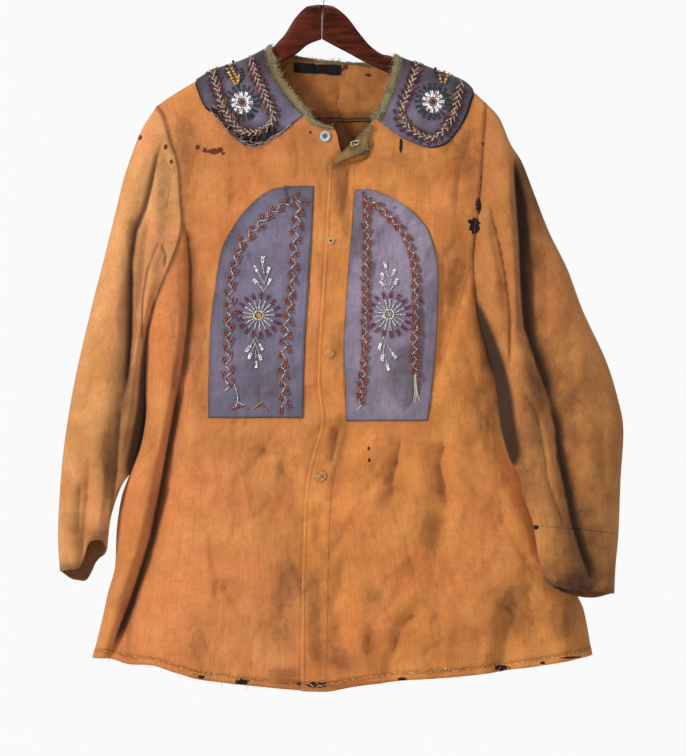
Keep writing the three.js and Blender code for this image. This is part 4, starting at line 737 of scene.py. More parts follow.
# Torn holes, painted as dark patches that stand for the shaded inside, and on the left front also the dark centres of
# two drops: centre x and z, half width and half height, how ragged.
RIGHT_HOLES = [(-216, -416, 4, 11, 1.2), (-218, -434, 3, 12, 1.2), (-166, -1012, 6, 2.6, 1.4),
               (-109, -1019, 10, 3.6, 1.8), (-24, -1021, 9, 3, 1.6)]
LEFT_HOLES = [(112, -270, 2.4, 12, 1.2), (228, -268, 2.2, 2.8, 1), (225, -316, 1.4, 4, 1), (225, -327, 1.6, 4, 1),
              (221, -354, 4.2, 11, 1.1), (215, -383, 7.5, 12, 1.2), (209, -377, 3.4, 3.4, 1), (67, -695, 1, 1.4, 0.8),
              (67.5, -711, 1.1, 1.6, 0.8),
              (-6, -1022, 16, 3.6, 1.8), (253, -1001, 10, 4, 1.8), (310, -994, 4, 2, 1.2),
              (348, -987, 14, 1.5, 2.2), (113, -1015, 7, 2.4, 1.6)]
canvas_right = canvas("canvas_right_front", "d18a4e", "b97137", "603418", FRONT_DROPS, RIGHT_HOLES)
canvas_left = canvas("canvas_left_front", "d68d49", "bb7134", "5e3518", FRONT_DROPS[6:], LEFT_HOLES)
canvas_back = canvas("canvas_back", "d58a48", "b97134", "663a1c")
canvas_inside = canvas("canvas_inside", "ad7440", "8a5629", "4a2a14")

# ---- Fronts and back -------------------------------------------------------------------------
# Each front is one piece from the closing to the side seam; the left laps 38 mm over the right. All
# three are turned up at the hem and seamed to the sleeves along the armholes.

ARM_SHARE = 0.38  # the armhole's share of a panel's length
LAP = 38
NECKLINE_RIGHT = {
    "x": [(0, 27), (0.16, 18), (0.26, 1), (0.34, -10), (0.41, -19), (0.5, -30), (0.62, -45), (0.76, -57),
          (0.88, -64), (0.95, -69), (0.98, -69.8), (1, -70)],
    "z": [(0, -277), (0.16, -246), (0.26, -241), (0.34, -235), (0.41, -226), (0.5, -207), (0.62, -189),
          (0.76, -171), (0.88, -151), (0.95, -140), (0.98, -134), (1, -127.5)],
}
NECKLINE_LEFT = {
    "x": [(0, 11), (0.25, 42), (0.46, 71), (0.55, 79), (0.68, 89), (0.78, 95), (0.88, 100), (0.95, 102.4),
          (0.98, 102.9), (1, 103)],
    "z": [(0, -300), (0.25, -269), (0.46, -238), (0.55, -223), (0.68, -202), (0.78, -185), (0.88, -167),
          (0.95, -153), (0.98, -147), (1, -140.5)],
}
NECKLINE_BACK = {
    "x": [(0, -70), (0.02, -69.8), (0.05, -68.5), (0.12, -55), (0.22, -35), (0.4, 0), (0.72, 56), (0.89, 90),
          (0.95, 102), (0.98, 102.9), (1, 103)],
    "z": [(0, -127.5), (0.02, -134), (0.05, -140), (0.12, -143), (0.22, -143.5), (0.4, -147), (0.72, -152),
          (0.89, -154), (0.95, -153), (0.98, -147), (1, -140.5)],
}
# Soft-edged soiling on the cloth, and on the fronts painted shade as well, along the deep folds and
# beside the sleeves: centre x and z, half width and half height, strength.
FRONT_SOIL_AND_SHADE = [
    (27, -325, 12, 40, 0.6), (22, -298, 22, 16, 0.4), (34, -375, 7, 30, 0.4), (-30, -262, 40, 30, 0.26),
    (150, -285, 70, 46, 0.22), (208, -300, 26, 90, 0.26), (-172, -540, 14, 110, 0.5), (-150, -262, 70, 36, 0.3), (-190, -300, 20, 90, 0.36), (184, -480, 18, 120, 0.2),
    (24, -560, 12, 30, 0.4), (24, -690, 14, 40, 0.4), (-46, -880, 22, 40, 0.42), (-10, -896, 16, 34, 0.5),
    (-10, -950, 12, 34, 0.42), (28, -986, 36, 26, 0.42), (72, -902, 14, 20, 0.36), (64, -963, 10, 26, 0.4),
    (-170, -963, 20, 28, 0.36), (-60, -943, 26, 34, 0.34), (-50, -1006, 26, 9, 0.5), (0, -1024, 330, 9, 0.34),
    (238, -545, 14, 60, 0.9), (252, -620, 12, 50, 0.6), (224, -640, 22, 60, 0.26), (190, -780, 60, 90, 0.1),
    (154, -812, 18, 28, 0.5), (97, -738, 14, 30, 0.44), (280, -920, 42, 50, 0.4), (343, -934, 20, 36, 0.45),
    (170, -965, 66, 40, 0.26), (-205, -560, 10, 120, 0.4), (-238, -760, 12, 100, 0.26), (-272, -930, 12, 70, 0.3),
    (-130, -700, 40, 40, 0.1), (-105, -900, 34, 50, 0.18), (-60, -470, 300, 240, 0.04), (110, -290, 40, 20, 0.2),
    (200, -440, 40, 60, 0.18), (-140, -640, 50, 60, 0.1), (60, -840, 30, 40, 0.16), (-100, -780, 60, 40, 0.12),
]
BACK_SOIL = [(0, -240, 120, 40, 0.3), (0, -1018, 330, 10, 0.34), (-190, -330, 30, 90, 0.3),
             (200, -330, 30, 90, 0.3), (60, -700, 90, 120, 0.18), (-150, -880, 70, 70, 0.2)]


def soil_of(x, z, blobs):
    """Sum of the blobs, each strength * exp(-(distance in half sizes)^2)."""
    total = np.zeros(x.shape)
    for cx, cz, wide, high, strength in blobs:
        total += strength * np.exp(-((x - cx) / wide) ** 2 - ((z - cz) / high) ** 2)
    return np.clip(total, 0, 1)


def hem_z(x):
    return through(HEMLINE, x)


def front_top(neckline, neck_x, tip_x):
    """Top edge of a front: along the neckline to u = 0.5, then along the shoulder."""
    def edge(u):
        along = np.minimum(u * 2, 1)
        on_shoulder = neck_x + (tip_x - neck_x) * np.clip(u * 2 - 1, 0, 1)
        return (np.where(u < 0.5, through(neckline["x"], along), on_shoulder),
                np.where(u < 0.5, through(neckline["z"], along), shoulder_z(on_shoulder)))
    return edge


def back_top(u):
    """Top edge of the back: right shoulder, neckline and left shoulder, a third each."""
    x = np.where(u < 0.5, -232 + 162 * np.clip(u * 3, 0, 1), 103 + 129 * np.clip(u * 3 - 2, 0, 1))
    in_neck = (u > 1 / 3) & (u <= 2 / 3)
    along = np.clip(u * 3 - 1, 0, 1)
    return (np.where(in_neck, through(NECKLINE_BACK["x"], along), x),
            np.where(in_neck, through(NECKLINE_BACK["z"], along), shoulder_z(x)))


def hem_edge(from_x, to_x):
    return lambda u: (from_x + (to_x - from_x) * u, hem_z(from_x + (to_x - from_x) * u))


def closing_edge(x0, z0, shift):
    """Front edge: from the neck to the hem along the overlap's edge, shifted sideways."""
    def edge(v):
        z = z0 + (-1031 - z0) * v
        return x0 + (through(OVERLAP_EDGE, z) + shift - x0) * ease(v * 12), z
    return edge


def side_edge(armhole, side, hem_side):
    """Side edge: down the armhole, then down the side seam to the hem."""
    def edge(v):
        high, low = armhole[0][0], armhole[-1][0]
        z_arm = high + (low - high) * np.clip(v / ARM_SHARE, 0, 1)
        z_side = low + (hem_side - low) * np.clip((v - ARM_SHARE) / (1 - ARM_SHARE), 0, 1)
        return (np.where(v <= ARM_SHARE, through(armhole, z_arm), through(side, z_side)),
                np.where(v <= ARM_SHARE, z_arm, z_side))
    return edge


right_edge = side_edge(ARMHOLE_RIGHT, SIDE_RIGHT, float(hem_z(-322)))
left_edge = side_edge(ARMHOLE_LEFT, SIDE_LEFT, float(hem_z(382)))
quarter = np.linspace(0, np.pi / 2, 10)
panel_rows = np.concatenate([ARM_SHARE * 9 / 296 * (1 - np.cos(quarter)),
                             np.linspace(ARM_SHARE * 9 / 296, ARM_SHARE, 88)[1:],
                             np.linspace(ARM_SHARE, 1, 160)[1:]])
crowding = lambda number, power: 1 - (1 - np.linspace(0, 1, number)) ** power
front_columns = np.concatenate([crowding(64, 1.5) / 2, 0.5 + crowding(72, 1.6)[1:] / 2])
back_columns = np.concatenate([(1 - crowding(50, 1.6)[::-1]) / 3, (1 + (1 - np.cos(np.linspace(0, np.pi, 56))) / 2)[1:] / 3,
                               (2 + crowding(50, 1.6)[1:]) / 3])


def hollow_of(x, z, folds, creases):
    """Painted shade for a place: how deep it lies in creases, 1 - e^(-(depth - 2.5 mm)/6), with a small
    share of the broad folds; below 0 on a ridge, which the colour then makes paler."""
    crease = crease_depth(creases, x, z, 0.6)
    painted_shade = np.where(crease < 0, 1 - np.exp(np.minimum(crease + 2.5, 0) / 6), -crease / 5)
    return np.clip(painted_shade - fold_depth(folds, x, z) / 150, -1, 1)


def panel(name, depth, edges, columns, folds, creases, blobs, armhole, materials):
    """A body panel: a Coons grid between its edges, laid on the body and walled inwards."""
    u, v = np.meshgrid(columns, panel_rows)
    x, z = coons(*edges, u, v)
    outer, normal = on_cloth(depth, x, z)
    hem = ease((z - hem_z(x) - 10.5) / -1.5) * ease((z - hem_z(x)) / 3 + 1)
    outer = outer + normal * (0.5 * hem)[..., None]
    inner = outer - normal * WALL
    points, faces = walled(outer, inner)
    # Painted shade in the creases and the gaps, paler on the ridges.
    hollow = hollow_of(x, z, folds, creases)
    seam = np.zeros(x.shape)
    for rows in armhole:
        near = np.abs(x - through(rows, z)) / 4
        seam = np.maximum(seam, 0.6 * np.exp(-near ** 2) * (z > rows[-1][0] - 4))
    hem_line = 0.5 * np.exp(-((z - hem_z(x) - 11) / 2.2) ** 2)
    soil = np.clip(soil_of(x, z, blobs) + seam + hem_line, 0, 1)
    twice = lambda field: np.concatenate([field.ravel(), field.ravel()])
    piece = mesh_piece(name, points, faces, materials, [0, 1, 0], cloth_uv(outer), hollow=twice(hollow),
                       soil=twice(soil))
    return piece, outer


right_front, right_grid = panel(
    "cloth_front_right", right_front_depth,
    (front_top(NECKLINE_RIGHT, -70, -232), hem_edge(LAP - 28, -322), closing_edge(27, -277, LAP), right_edge),
    front_columns, FRONT_FOLDS, FRONT_CREASES + FRONT_SMALL, FRONT_SOIL_AND_SHADE, [ARMHOLE_RIGHT],
    [canvas_right, canvas_inside])
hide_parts("front_right")
left_front, left_grid = panel(
    "cloth_front_left", left_front_depth,
    (front_top(NECKLINE_LEFT, 103, 232), hem_edge(-28, 382), closing_edge(11, -300, 0), left_edge),
    front_columns, FRONT_FOLDS, FRONT_CREASES + FRONT_SMALL, FRONT_SOIL_AND_SHADE, [ARMHOLE_LEFT],
    [canvas_left, canvas_inside])
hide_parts("front_left")
back, back_grid = panel(
    "cloth_back", back_depth, (back_top, hem_edge(-322, 382), right_edge, left_edge), back_columns,
    BACK_FOLDS, BACK_CREASES, BACK_SOIL, [ARMHOLE_RIGHT, ARMHOLE_LEFT], [canvas_back, canvas_inside])
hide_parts("back")

# ---- Sleeves ---------------------------------------------------------------------------------
# Each sleeve is a tube with its seam under the arm, set into the armhole; it hangs flat, open at its
# end. A band is joined to the end of the left one.

SLEEVE_COLUMNS = ("outer_x", "outer_z", "inner_x", "inner_z", "outer_y", "inner_y", "half")
SLEEVE_RIGHT = [
    (-232, -213.6, -244, -509, 0, 0, 30), (-254, -249, -247, -522, -2, -3, 31),
    (-276, -309, -250, -550, -3, -6, 32), (-288, -357, -252, -578, -4, -8, 32),
    (-307, -434, -254, -613, -5, -10, 31), (-324, -501, -256, -651, -6, -12, 30),
    (-342, -578, -262, -686, -7, -14, 29), (-354, -641, -270, -718, -8, -15, 27),
    (-363, -704, -281, -750, -9, -16, 25), (-368, -767, -290, -778, -10, -17, 23),
    (-370, -823, -296, -802, -11, -18, 22), (-367, -866, -300, -836, -12, -19, 21),
]
SLEEVE_LEFT = [
    (232, -208.6, 220, -491, 0, 0, 30), (251, -230, 224, -508, -2, -8, 31),
    (267, -267, 231, -533, -3, -14, 32), (283, -293, 238, -553, -4, -19, 32),
    (300, -337, 248, -580, -5, -25, 31), (321, -391, 256, -606, -6, -31, 30),
    (347, -444, 262, -638, -7, -37, 30), (368, -501, 266, -673, -8, -42, 29),
    (400, -570, 272, -708, -9, -47, 28), (417, -624, 276, -732, -10, -50, 27),
    (425, -669, 280, -756, -11, -52, 26), (421, -739, 287, -778, -12, -54, 25),
    (418, -815, 295, -801, -13, -55, 24), (414, -858, 304, -851, -14, -57, 23),
    (412, -899, 316, -883, -15, -58, 22),
]
END_RIGHT = {  # height of the end's edge, from the outer to the inner edge of the tube
    "front": [(0, -868), (0.2, -865), (0.42, -862), (0.52, -846), (0.6, -830), (0.7, -824), (0.82, -823),
              (0.94, -826), (1, -836)],
    "back": [(0, -868), (0.2, -879), (0.42, -882), (0.52, -882), (0.62, -874), (0.72, -858), (0.82, -850),
             (0.94, -844), (1, -836)],
}
END_LEFT = {
    "front": [(0, -899), (0.3, -894), (0.7, -890), (1, -883)],
    "back": [(0, -899), (0.3, -905), (0.7, -899), (1, -883)],
}
# How far the inner edge is drawn in behind the body's side, by section.
TUCK_RIGHT = [(0, 0), (1, 0.5), (2, 1), (6, 1), (7, 0.7), (8, 0), (11, 0)]
TUCK_LEFT = [(0, 0), (1, 0.5), (2, 1), (6, 1), (8, 0.6), (9, 0), (14, 0)]
SLEEVE_FOLDS_RIGHT = [
    (-230, -250, -267, -560, 4, 14, 16, -17, 1.5, 0.2, 0),
    (-267, -560, -302, -815, 3, 14, 20, -13, 1.5, 0, 0.4),
    (-323, -690, -340, -880, 3, 8, 12, -14, 1.4, 0.4, 0),
]
SLEEVE_FOLDS_LEFT = [
    (270, -262, 284, -520, 1, 8, 30, -20, 1.5, 0.3, 0),
    (284, -520, 328, -680, -4, 9, 28, -18, 1.5, 0, 0),
    (328, -680, 351, -800, -2, 9, 26, -17, 1.5, 0, 0),
    (351, -800, 382, -890, -2, 10, 22, -13, 1.5, 0, 0),
    (230, -345, 263, -540, 3, 8, 10, -8, 1.4, 0.3, 0.4),
]
BACK_FOLDS_RIGHT = [(-246, -300, -296, -600, -4, 16, 14, -12, 1.6, 0.4, 0.4),
                    (-296, -580, -326, -860, 3, 14, 16, -10, 1.6, 0.4, 0)]
BACK_FOLDS_LEFT = [(256, -290, 330, -600, -4, 18, 16, -13, 1.6, 0.4, 0.3),
                   (350, -560, 374, -890, 4, 16, 18, -10, 1.6, 0.4, 0)]
SLEEVE_CREASES = [
    (-12, 12, 4, [(-219, -248), (-230, -286), (-238, -325), (-247, -362), (-259, -390), (-265, -434),
                  (-267, -507), (-268, -549), (-270, -584), (-273, -610), (-282, -640)]),
    (-8, 14, 5, [(-280, -630), (-285, -694), (-288, -738), (-296, -800)]),
    (-8, 6, 3, [(-222, -390), (-234, -421), (-243, -444), (-250, -485), (-251, -530), (-250, -567)]),
    (-7, 4, 3, [(-206, -297), (-214, -340), (-217, -366)]),
    (-12, 5, 4, [(-224, -408), (-218, -425), (-220, -442)]),
    (-6, 7, 9, [(-338, -744), (-340, -780), (-341, -822)]),
    (4, 8, 10, [(-300, -700), (-306, -760), (-310, -815)]),
    (-3, 6, 8, [(-262, -300), (-282, -350), (-292, -420), (-300, -480)]),
    (-3, 7, 6, [(-330, -560), (-318, -600), (-330, -650)]),
    (-10, 7, 2.5, [(230, -337), (239, -364), (251, -412), (258, -453), (263, -490), (265, -517), (264, -553),
                   (263, -598)]),
    (-17, 3, 22, [(270, -271), (273, -321), (276, -357), (279, -398), (281, -462), (283, -499), (286, -526),
                  (294, -553), (305, -585), (316, -617), (324, -644)]),
    (-16, 3.5, 17, [(318, -622), (328, -665), (331, -708), (342, -754), (351, -799), (365, -845), (381, -888)]),
    (4, 8, 6, [(262, -300), (267, -360), (271, -420), (272, -490), (276, -530)]),
    (-8, 5, 9, [(274, -603), (286, -624), (299, -644), (305, -676), (311, -708), (313, -735), (324, -767),
                (335, -795), (342, -817)]),
    (-4, 4, 4, [(377, -749), (403, -769), (413, -749)]),
    (-3, 8, 7, [(290, -290), (306, -350)]),
    (-3, 8, 7, [(362, -470), (348, -540), (355, -610)]),
    (-3, 6, 8, [(400, -600), (394, -680), (400, -760)]),
    (-4, 3, 6, [(250, -530), (246, -560), (256, -590)]),
]
SLEEVE_BOX = (-385, 440, -930, -190)
sleeve_creases = SLEEVE_CREASES + scattered_creases(14, 46, (-360, -240, -830, -260), 1.1)
sleeve_creases += scattered_creases(15, 60, (250, 410, -860, -260), 1.2)
sleeve_relief = relief_map(sleeve_creases, 41, SLEEVE_BOX, 3.0)
behind_relief = relief_map(scattered_creases(16, 90, (-360, 410, -860, -260), 1.6), 51, SLEEVE_BOX, 3.6)
# Soiling, and painted shade along the deep grooves and the strip beside the body: centre x and z, half width and half
# height, strength.
RIGHT_SLEEVE_SOIL_AND_SHADE = [(-268, -520, 9, 110, 0.6), (-262, -400, 12, 60, 0.35), (-276, -650, 12, 60, 0.6), (-300, -700, 14, 60, 0.4),
                     (-222, -330, 14, 70, 0.5), (-330, -866, 60, 12, 0.5), (-312, -815, 30, 10, 0.4),
                     (-292, -740, 14, 60, 0.5), (-352, -800, 20, 30, 0.25), (-230, -450, 12, 40, 0.4)]
LEFT_SLEEVE_SOIL_AND_SHADE = [(290, -300, 16, 110, 0.6), (300, -440, 20, 100, 0.5), (310, -590, 22, 60, 0.4),
                    (290, -680, 20, 80, 0.42), (345, -700, 18, 90, 0.5), (372, -820, 26, 60, 0.6),
                    (340, -880, 50, 16, 0.6), (360, -600, 40, 60, 0.18), (400, -720, 26, 60, 0.25),
                    (330, -860, 40, 30, 0.35), (390, -860, 30, 40, 0.35), (275, -760, 12, 60, 0.3)]
SLEEVE_DROPS = [(-255, -258, 3.5, 4, 0.8), (-218, -272, 3, 4, 0.8), (-206, -270, 3, 3, 0.8),
                (-210, -293, 2.5, 3.5, 0.8)]
canvas_sleeve_right = canvas("canvas_right_sleeve", "d99c62", "bb7e44", "59361e", SLEEVE_DROPS)
# Its holes are painted as dark patches: painted shade of the inside.
canvas_sleeve_left = canvas("canvas_left_sleeve", "c68649", "a0632f", "44260e", (), [
    (259, -236, 4, 2, 1), (222, -355, 3.4, 11, 1.1), (217, -383, 6, 12, 1.2), (299, -804, 4, 3.4, 1.4)])


def sleeve(name, rows, end, armhole, front_depth, folds, back_folds, tuck, outward_way, sections, blobs,
           material):
    """A stretch of a sleeve. A ring runs over the front from the outer to the inner edge and back
    behind. Half its thickness is half * (1 - |2a - 1|^2.6)^0.5 plus folds, a the share of the way
    across. The first rings pass from the armhole to the sleeve's own section."""
    half_turn = (1 - np.cos(np.linspace(0, np.pi, 62))) / 2
    behind = (1 - np.cos(np.linspace(0, np.pi, 42)))[-2:0:-1] / 2
    across = np.concatenate([half_turn, behind])[None, :]
    front = np.concatenate([np.ones(62, bool), np.zeros(40, bool)])[None, :]
    number = sections[:, None]
    order = np.arange(len(rows))
    column = {label: through(list(zip(order, [row[k] for row in rows])), number)
              for k, label in enumerate(SLEEVE_COLUMNS)}
    first, last = rows[0], rows[-1]
    arm_z = armhole[0][0] + (armhole[-1][0] - armhole[0][0]) * across
    arm_x = through(armhole, arm_z)
    seam = np.where(front[..., None], on_cloth(front_depth, arm_x, arm_z)[0], on_cloth(back_depth, arm_x, arm_z)[0])
    seam[..., 1] *= (across > 0) & (across < 1)
    bow = np.maximum(1 - number / 4, 0) ** 2
    way = lambda a, b: a + (b - a) * across
    x = way(column["outer_x"], column["inner_x"]) + (seam[..., 0] - way(first[0], first[2])) * bow
    z = way(column["outer_z"], column["inner_z"]) + (seam[..., 2] - way(first[1], first[3])) * bow
    closing = np.sqrt(np.clip(1 - np.abs(2 * across - 1) ** 2.6, 0, 1))
    fold = np.where(front, fold_depth(folds, x, z) + sleeve_relief(x, z), fold_depth(back_folds, x, z) + behind_relief(x, z))
    thick = np.maximum(column["half"] + fold * closing, 5) * closing
    rim = np.where(front, through(end["front"], across), through(end["back"], across))
    z = z + (rim - way(last[1], last[3])) * ease(number - len(rows) + 2)
    settle = ease(number / 2.5)
    y = seam[..., 1] * (1 - settle) + settle * (way(column["outer_y"], column["inner_y"]) + np.where(front, -1, 1) * thick)
    drawn = through(tuck, number) * ease((across - 0.84) / 0.16)
    x, y = x - outward_way * 14 * drawn, y + 32 * drawn
    grid = np.stack([x + outward_way * 0.4 * (number == 0), y, z], axis=-1)
    along = np.roll(grid, -1, axis=1) - np.roll(grid, 1, axis=1)
    normal = np.cross(along, np.gradient(grid, axis=0))
    normal /= np.maximum(np.linalg.norm(normal, axis=-1, keepdims=True), 1e-9)
    normal *= -np.sign(normal[len(grid) // 2, 30, 1])
    inner = grid - normal * WALL
    points, faces = walled(grid, inner, wraps=True)
    # Painted shade in the creases of the front half; the cloth tucked in behind the body is painted dark as the shade
    # of the gap there, and its back half a third as dark.
    hollow = np.where(front, hollow_of(x, z, folds, sleeve_creases), 0)
    hollow = np.maximum(hollow, ease(drawn * 2.2 - 0.1) * np.where(front, 1, 0.3))
    cap = 0.5 * np.exp(-(number / 0.12) ** 2) + 0 * x
    cuff = 0.35 * ease((number - len(rows) + 1.35) / 0.3) + 0 * x
    soil = np.clip(soil_of(x, z, blobs) + cap + cuff, 0, 1)
    twice = lambda field: np.concatenate([field.ravel(), field.ravel()])
    piece = mesh_piece(name, points, faces, [material, canvas_inside], [0, 1, 0], cloth_uv(grid),
                       hollow=twice(hollow), soil=twice(soil))
    return piece, np.concatenate([grid, grid[:, :1]], axis=1)


CUFF_SEAM = 12
right_sleeve, grid = sleeve(
    "cloth_sleeve_right", SLEEVE_RIGHT, END_RIGHT, ARMHOLE_RIGHT, right_front_depth, SLEEVE_FOLDS_RIGHT,
    BACK_FOLDS_RIGHT, TUCK_RIGHT, -1, np.linspace(0, 11, 190), RIGHT_SLEEVE_SOIL_AND_SHADE, canvas_sleeve_right)
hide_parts("sleeve_right")
left_sleeve, grid = sleeve(
    "cloth_sleeve_left", SLEEVE_LEFT, END_LEFT, ARMHOLE_LEFT, left_front_depth, SLEEVE_FOLDS_LEFT,
    BACK_FOLDS_LEFT, TUCK_LEFT, 1, np.linspace(0, CUFF_SEAM - 0.004, 190), LEFT_SLEEVE_SOIL_AND_SHADE, canvas_sleeve_left)
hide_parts("sleeve_left")
cuff, grid = sleeve(
    "cloth_cuff_left", SLEEVE_LEFT, END_LEFT, ARMHOLE_LEFT, left_front_depth, SLEEVE_FOLDS_LEFT,
    BACK_FOLDS_LEFT, TUCK_LEFT, 1, np.linspace(CUFF_SEAM + 0.004, CUFF_SEAM + 2, 44), LEFT_SLEEVE_SOIL_AND_SHADE, canvas_sleeve_left)
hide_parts("cuff_left")

# ---- Inside of the neck ----------------------------------------------------------------------
# A facing of the same canvas lines the back under the neck, its lower edge turned in and stitched. A
# plain label of black cotton tape is sewn to it by its two ends.

FACING = [(-150, -46, 84), (-166, -62, 96), (-186, -76, 108), (-210, -86, 116), (-233, -90, 120)]
LABEL = {"x": (-38, 28), "z": (-152, -166), "tilt": -0.05}
NECK_DRIPS = [(34, -156, 4, 5, 1.6), (28, -160, 5, 3, 1.4), (67, -168, 5, 2.6, 1.6), (20, -236, 50, 2.6, 0.5),
              (60, -234, 40, 2.2, 0.6)]


def sewn_on(name, at, x, z, lift, wall, materials, slot, **fields):
    """A cloth laid on another: its outer face at lift plus wall over the surface at(x, z, lift), its
    inner face at lift."""
    outer, inner = at(x, z, lift + wall)[0], at(x, z, lift)[0]
    points, faces = walled(outer, inner)
    fields = {label: np.concatenate([np.broadcast_to(value, x.shape).ravel()] * 2) for label, value in fields.items()}
    piece = mesh_piece(name, points, faces, materials, [0, 1, 0] if len(materials) > 1 else None,
                       cloth_uv(outer), **fields)
    return piece, outer


def at_back(x, z, lift=0.0):
    return on_cloth(back_depth, x, z, lift)


across, z = np.meshgrid(np.linspace(0, 1, 110), np.linspace(-150, -233, 50))
left_x, right_x = (through([(row[0], row[k]) for row in FACING], z) for k in (1, 2))
# Painted shade in a band along the facing's lower edge, at z -229.
facing, grid = sewn_on(
    "neck_facing", at_back, left_x + (right_x - left_x) * across, z, -2.2, -1.2,
    [canvas("canvas_facing", "ba7b40", "975c2a", "4f2b15", NECK_DRIPS), canvas_inside], "canvas_inside",
    hollow=0.9 * np.exp(-((z + 229) / 2) ** 2), soil=0.55 * np.exp(-((z + 226) / 9) ** 2) + 0.25 * (across < 0.12))
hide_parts("back_facing")


def tape(name, pale, deep, soiled, threads, rough, sheen=0.1, crinkle=0.0):
    """A plain cotton, woven finer than the canvas, weathered and painted with shade like it, with shallow crinkles."""
    material, tree, shader = new_material(name)
    place = wire(tree, "ShaderNodeTexCoord").outputs["Object"]
    cloth = wire(tree, "ShaderNodeUVMap", {"uv_map": "cloth"}).outputs[0]
    woven = placed(tree, weave, Cloth=cloth, Threads=threads)
    soil = wire(tree, "ShaderNodeAttribute", {"attribute_name": "soil"}).outputs["Fac"]
    hollow = wire(tree, "ShaderNodeAttribute", {"attribute_name": "hollow"}).outputs["Fac"]
    look = placed(tree, aged_shaded, Place=place, Pale=linear(pale), Deep=linear(deep), Soiled=linear(soiled),
                  Hollow=hollow, Soil=soil, Slub=woven.outputs["Slub"])
    tree.links.new(look.outputs["Colour"], shader.inputs["Base Color"])
    tree.links.new(ramp(tree, look.outputs["Roughness"], 0.7, 0.9, rough - 0.1, rough), shader.inputs["Roughness"])
    shader.inputs["Sheen Weight"].default_value = sheen
    shader.inputs["Specular IOR Level"].default_value = 0.3
    fuzz = noise(tree, place, 700.0, 3.0, 0.6)
    height = math(tree, "ADD", math(tree, "MULTIPLY", woven.outputs["Height"], 0.5), fuzz)
    if crinkle:
        folds = noise(tree, place, 1.0, 3.0, 0.55, (90.0, 90.0, 34.0))
        height = math(tree, "ADD", height, math(tree, "MULTIPLY", folds, crinkle))
    bumped(tree, shader, height, 0.45, 0.0007)
    return material


x, z = np.meshgrid(np.linspace(*LABEL["x"], 60), np.linspace(*LABEL["z"], 18))
black_cotton = tape("black_cotton", "0e0e10", "080809", "241f1b", 1800.0, 0.85, 0.0)
worn = 0.6 * np.exp(-((x - LABEL["x"][0]) / 2) ** 2) + 0.6 * np.exp(-((x - LABEL["x"][1]) / 2) ** 2)
label_tape, grid = sewn_on("label_tape", at_back, x, z + LABEL["tilt"] * x, -4.0, -0.7, [black_cotton],
                           "black_cloth", soil=worn, hollow=0 * x)
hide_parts("label")

# ---- Collar ----------------------------------------------------------------------------------
# Two halves of mauve cotton, grey with dirt, that meet at the centre back. Each lies over the shoulder
# from the back to the front. The right one has a torn edge, where its black lining shows.

# Rows across each half: seam x and z, outer edge x and z, neck edge x and z. Rows after the eighth lie
# on the back.
COLLAR_RIGHT = [
    (-25, -228, -41, -242, -18, -224), (-34, -220, -74, -265, -26, -214), (-42, -211, -106, -272, -34, -203),
    (-50, -201, -124, -259, -43, -191), (-57, -191, -141, -240, -51, -181), (-65, -178, -162, -217, -57, -171),
    (-72, -163, -172, -196, -63, -154), (-79, -134.5, -176, -178, -70.5, -128),
    (-70, -146, -170, -204, -63, -135), (-52, -150, -146, -232, -48, -140), (-28, -154, -96, -252, -26, -144),
    (-4, -157, -38, -262, -3, -147), (16.8, -159, 16.8, -266, 16.8, -149)]
COLLAR_LEFT = [
    (84, -237, 96, -249, 73, -234), (88, -228, 122, -264, 79, -224), (93, -218, 152, -274, 84, -213),
    (98, -207, 174, -269, 89, -202), (103, -195, 190, -252, 94, -189), (107, -181, 203, -231, 98, -176),
    (111, -165, 211, -208, 101, -161), (113, -146.5, 214, -192, 104, -141.5),
    (108, -157, 206, -216, 99, -147), (90, -161, 178, -240, 86, -151), (66, -163, 130, -257, 64, -153),
    (40, -162, 74, -265, 39, -151), (17.2, -159, 17.2, -266, 17.2, -149)]
BINDING_START = [(17, -250, 17, -250, 17.5, -247), (0, -246.5, 0, -246.5, 1, -242), (-13, -242, -13, -242, -10, -236)]
CREST = 7
VINES = {  # the line that the beaded vine follows over each front half
    "right": [(-151, -150), (-152, -168), (-143, -200), (-131, -228), (-113, -250), (-90, -252), (-72, -242),
              (-68, -226), (-76, -207), (-89, -176), (-100, -144)],
    "left": [(137, -150), (124, -190), (112, -228), (128, -251), (158, -260), (180, -238), (190, -210),
             (196, -180)]}


def over_shoulder(front_depth):
    """Places on the cloth by x and a height that is unrolled over the shoulder: past the shoulder line
    it runs on down the back."""
    def at(x, height, lift=0.0):
        x, height = np.broadcast_arrays(np.asarray(x, float), np.asarray(height, float))
        top = shoulder_z(x)
        z = top - np.abs(top - height)
        ahead, behind = on_cloth(front_depth, x, z, lift), on_cloth(back_depth, x, z, lift)
        rear = (height > top)[..., None]
        return np.where(rear, behind[0], ahead[0]), np.where(rear, behind[1], ahead[1])
    return at


def unrolled(rows, x_column, crest):
    """x and unrolled height of one edge's rows: mirrored in the shoulder line after the crest row."""
    x, z = (np.array([row[k] for row in rows], float) for k in (x_column, x_column + 1))
    order = np.arange(len(rows))
    side = np.where(order < crest, 1, np.where(order > crest, -1, 0))
    return x, shoulder_z(x) - side * (shoulder_z(x) - z)


def trim_grid(rows, from_column, to_column, crest, lines, shares):
    """x and unrolled height between two edges of a trim: smooth along the rows, straight across. The
    drop below the shoulder line is what is carried, so that no row cuts the crest."""
    order, number = np.arange(len(rows)), np.linspace(0, len(rows) - 1, lines)[:, None]
    ends = []
    for column in (from_column, to_column):
        x, height = unrolled(rows, column, crest)
        ends.append((through(list(zip(order, x)), number), through(list(zip(order, shoulder_z(x) - height)), number)))
    x = ends[0][0] + (ends[1][0] - ends[0][0]) * shares
    drop = ends[0][1] + (ends[1][1] - ends[0][1]) * shares
    return x, shoulder_z(x) - drop


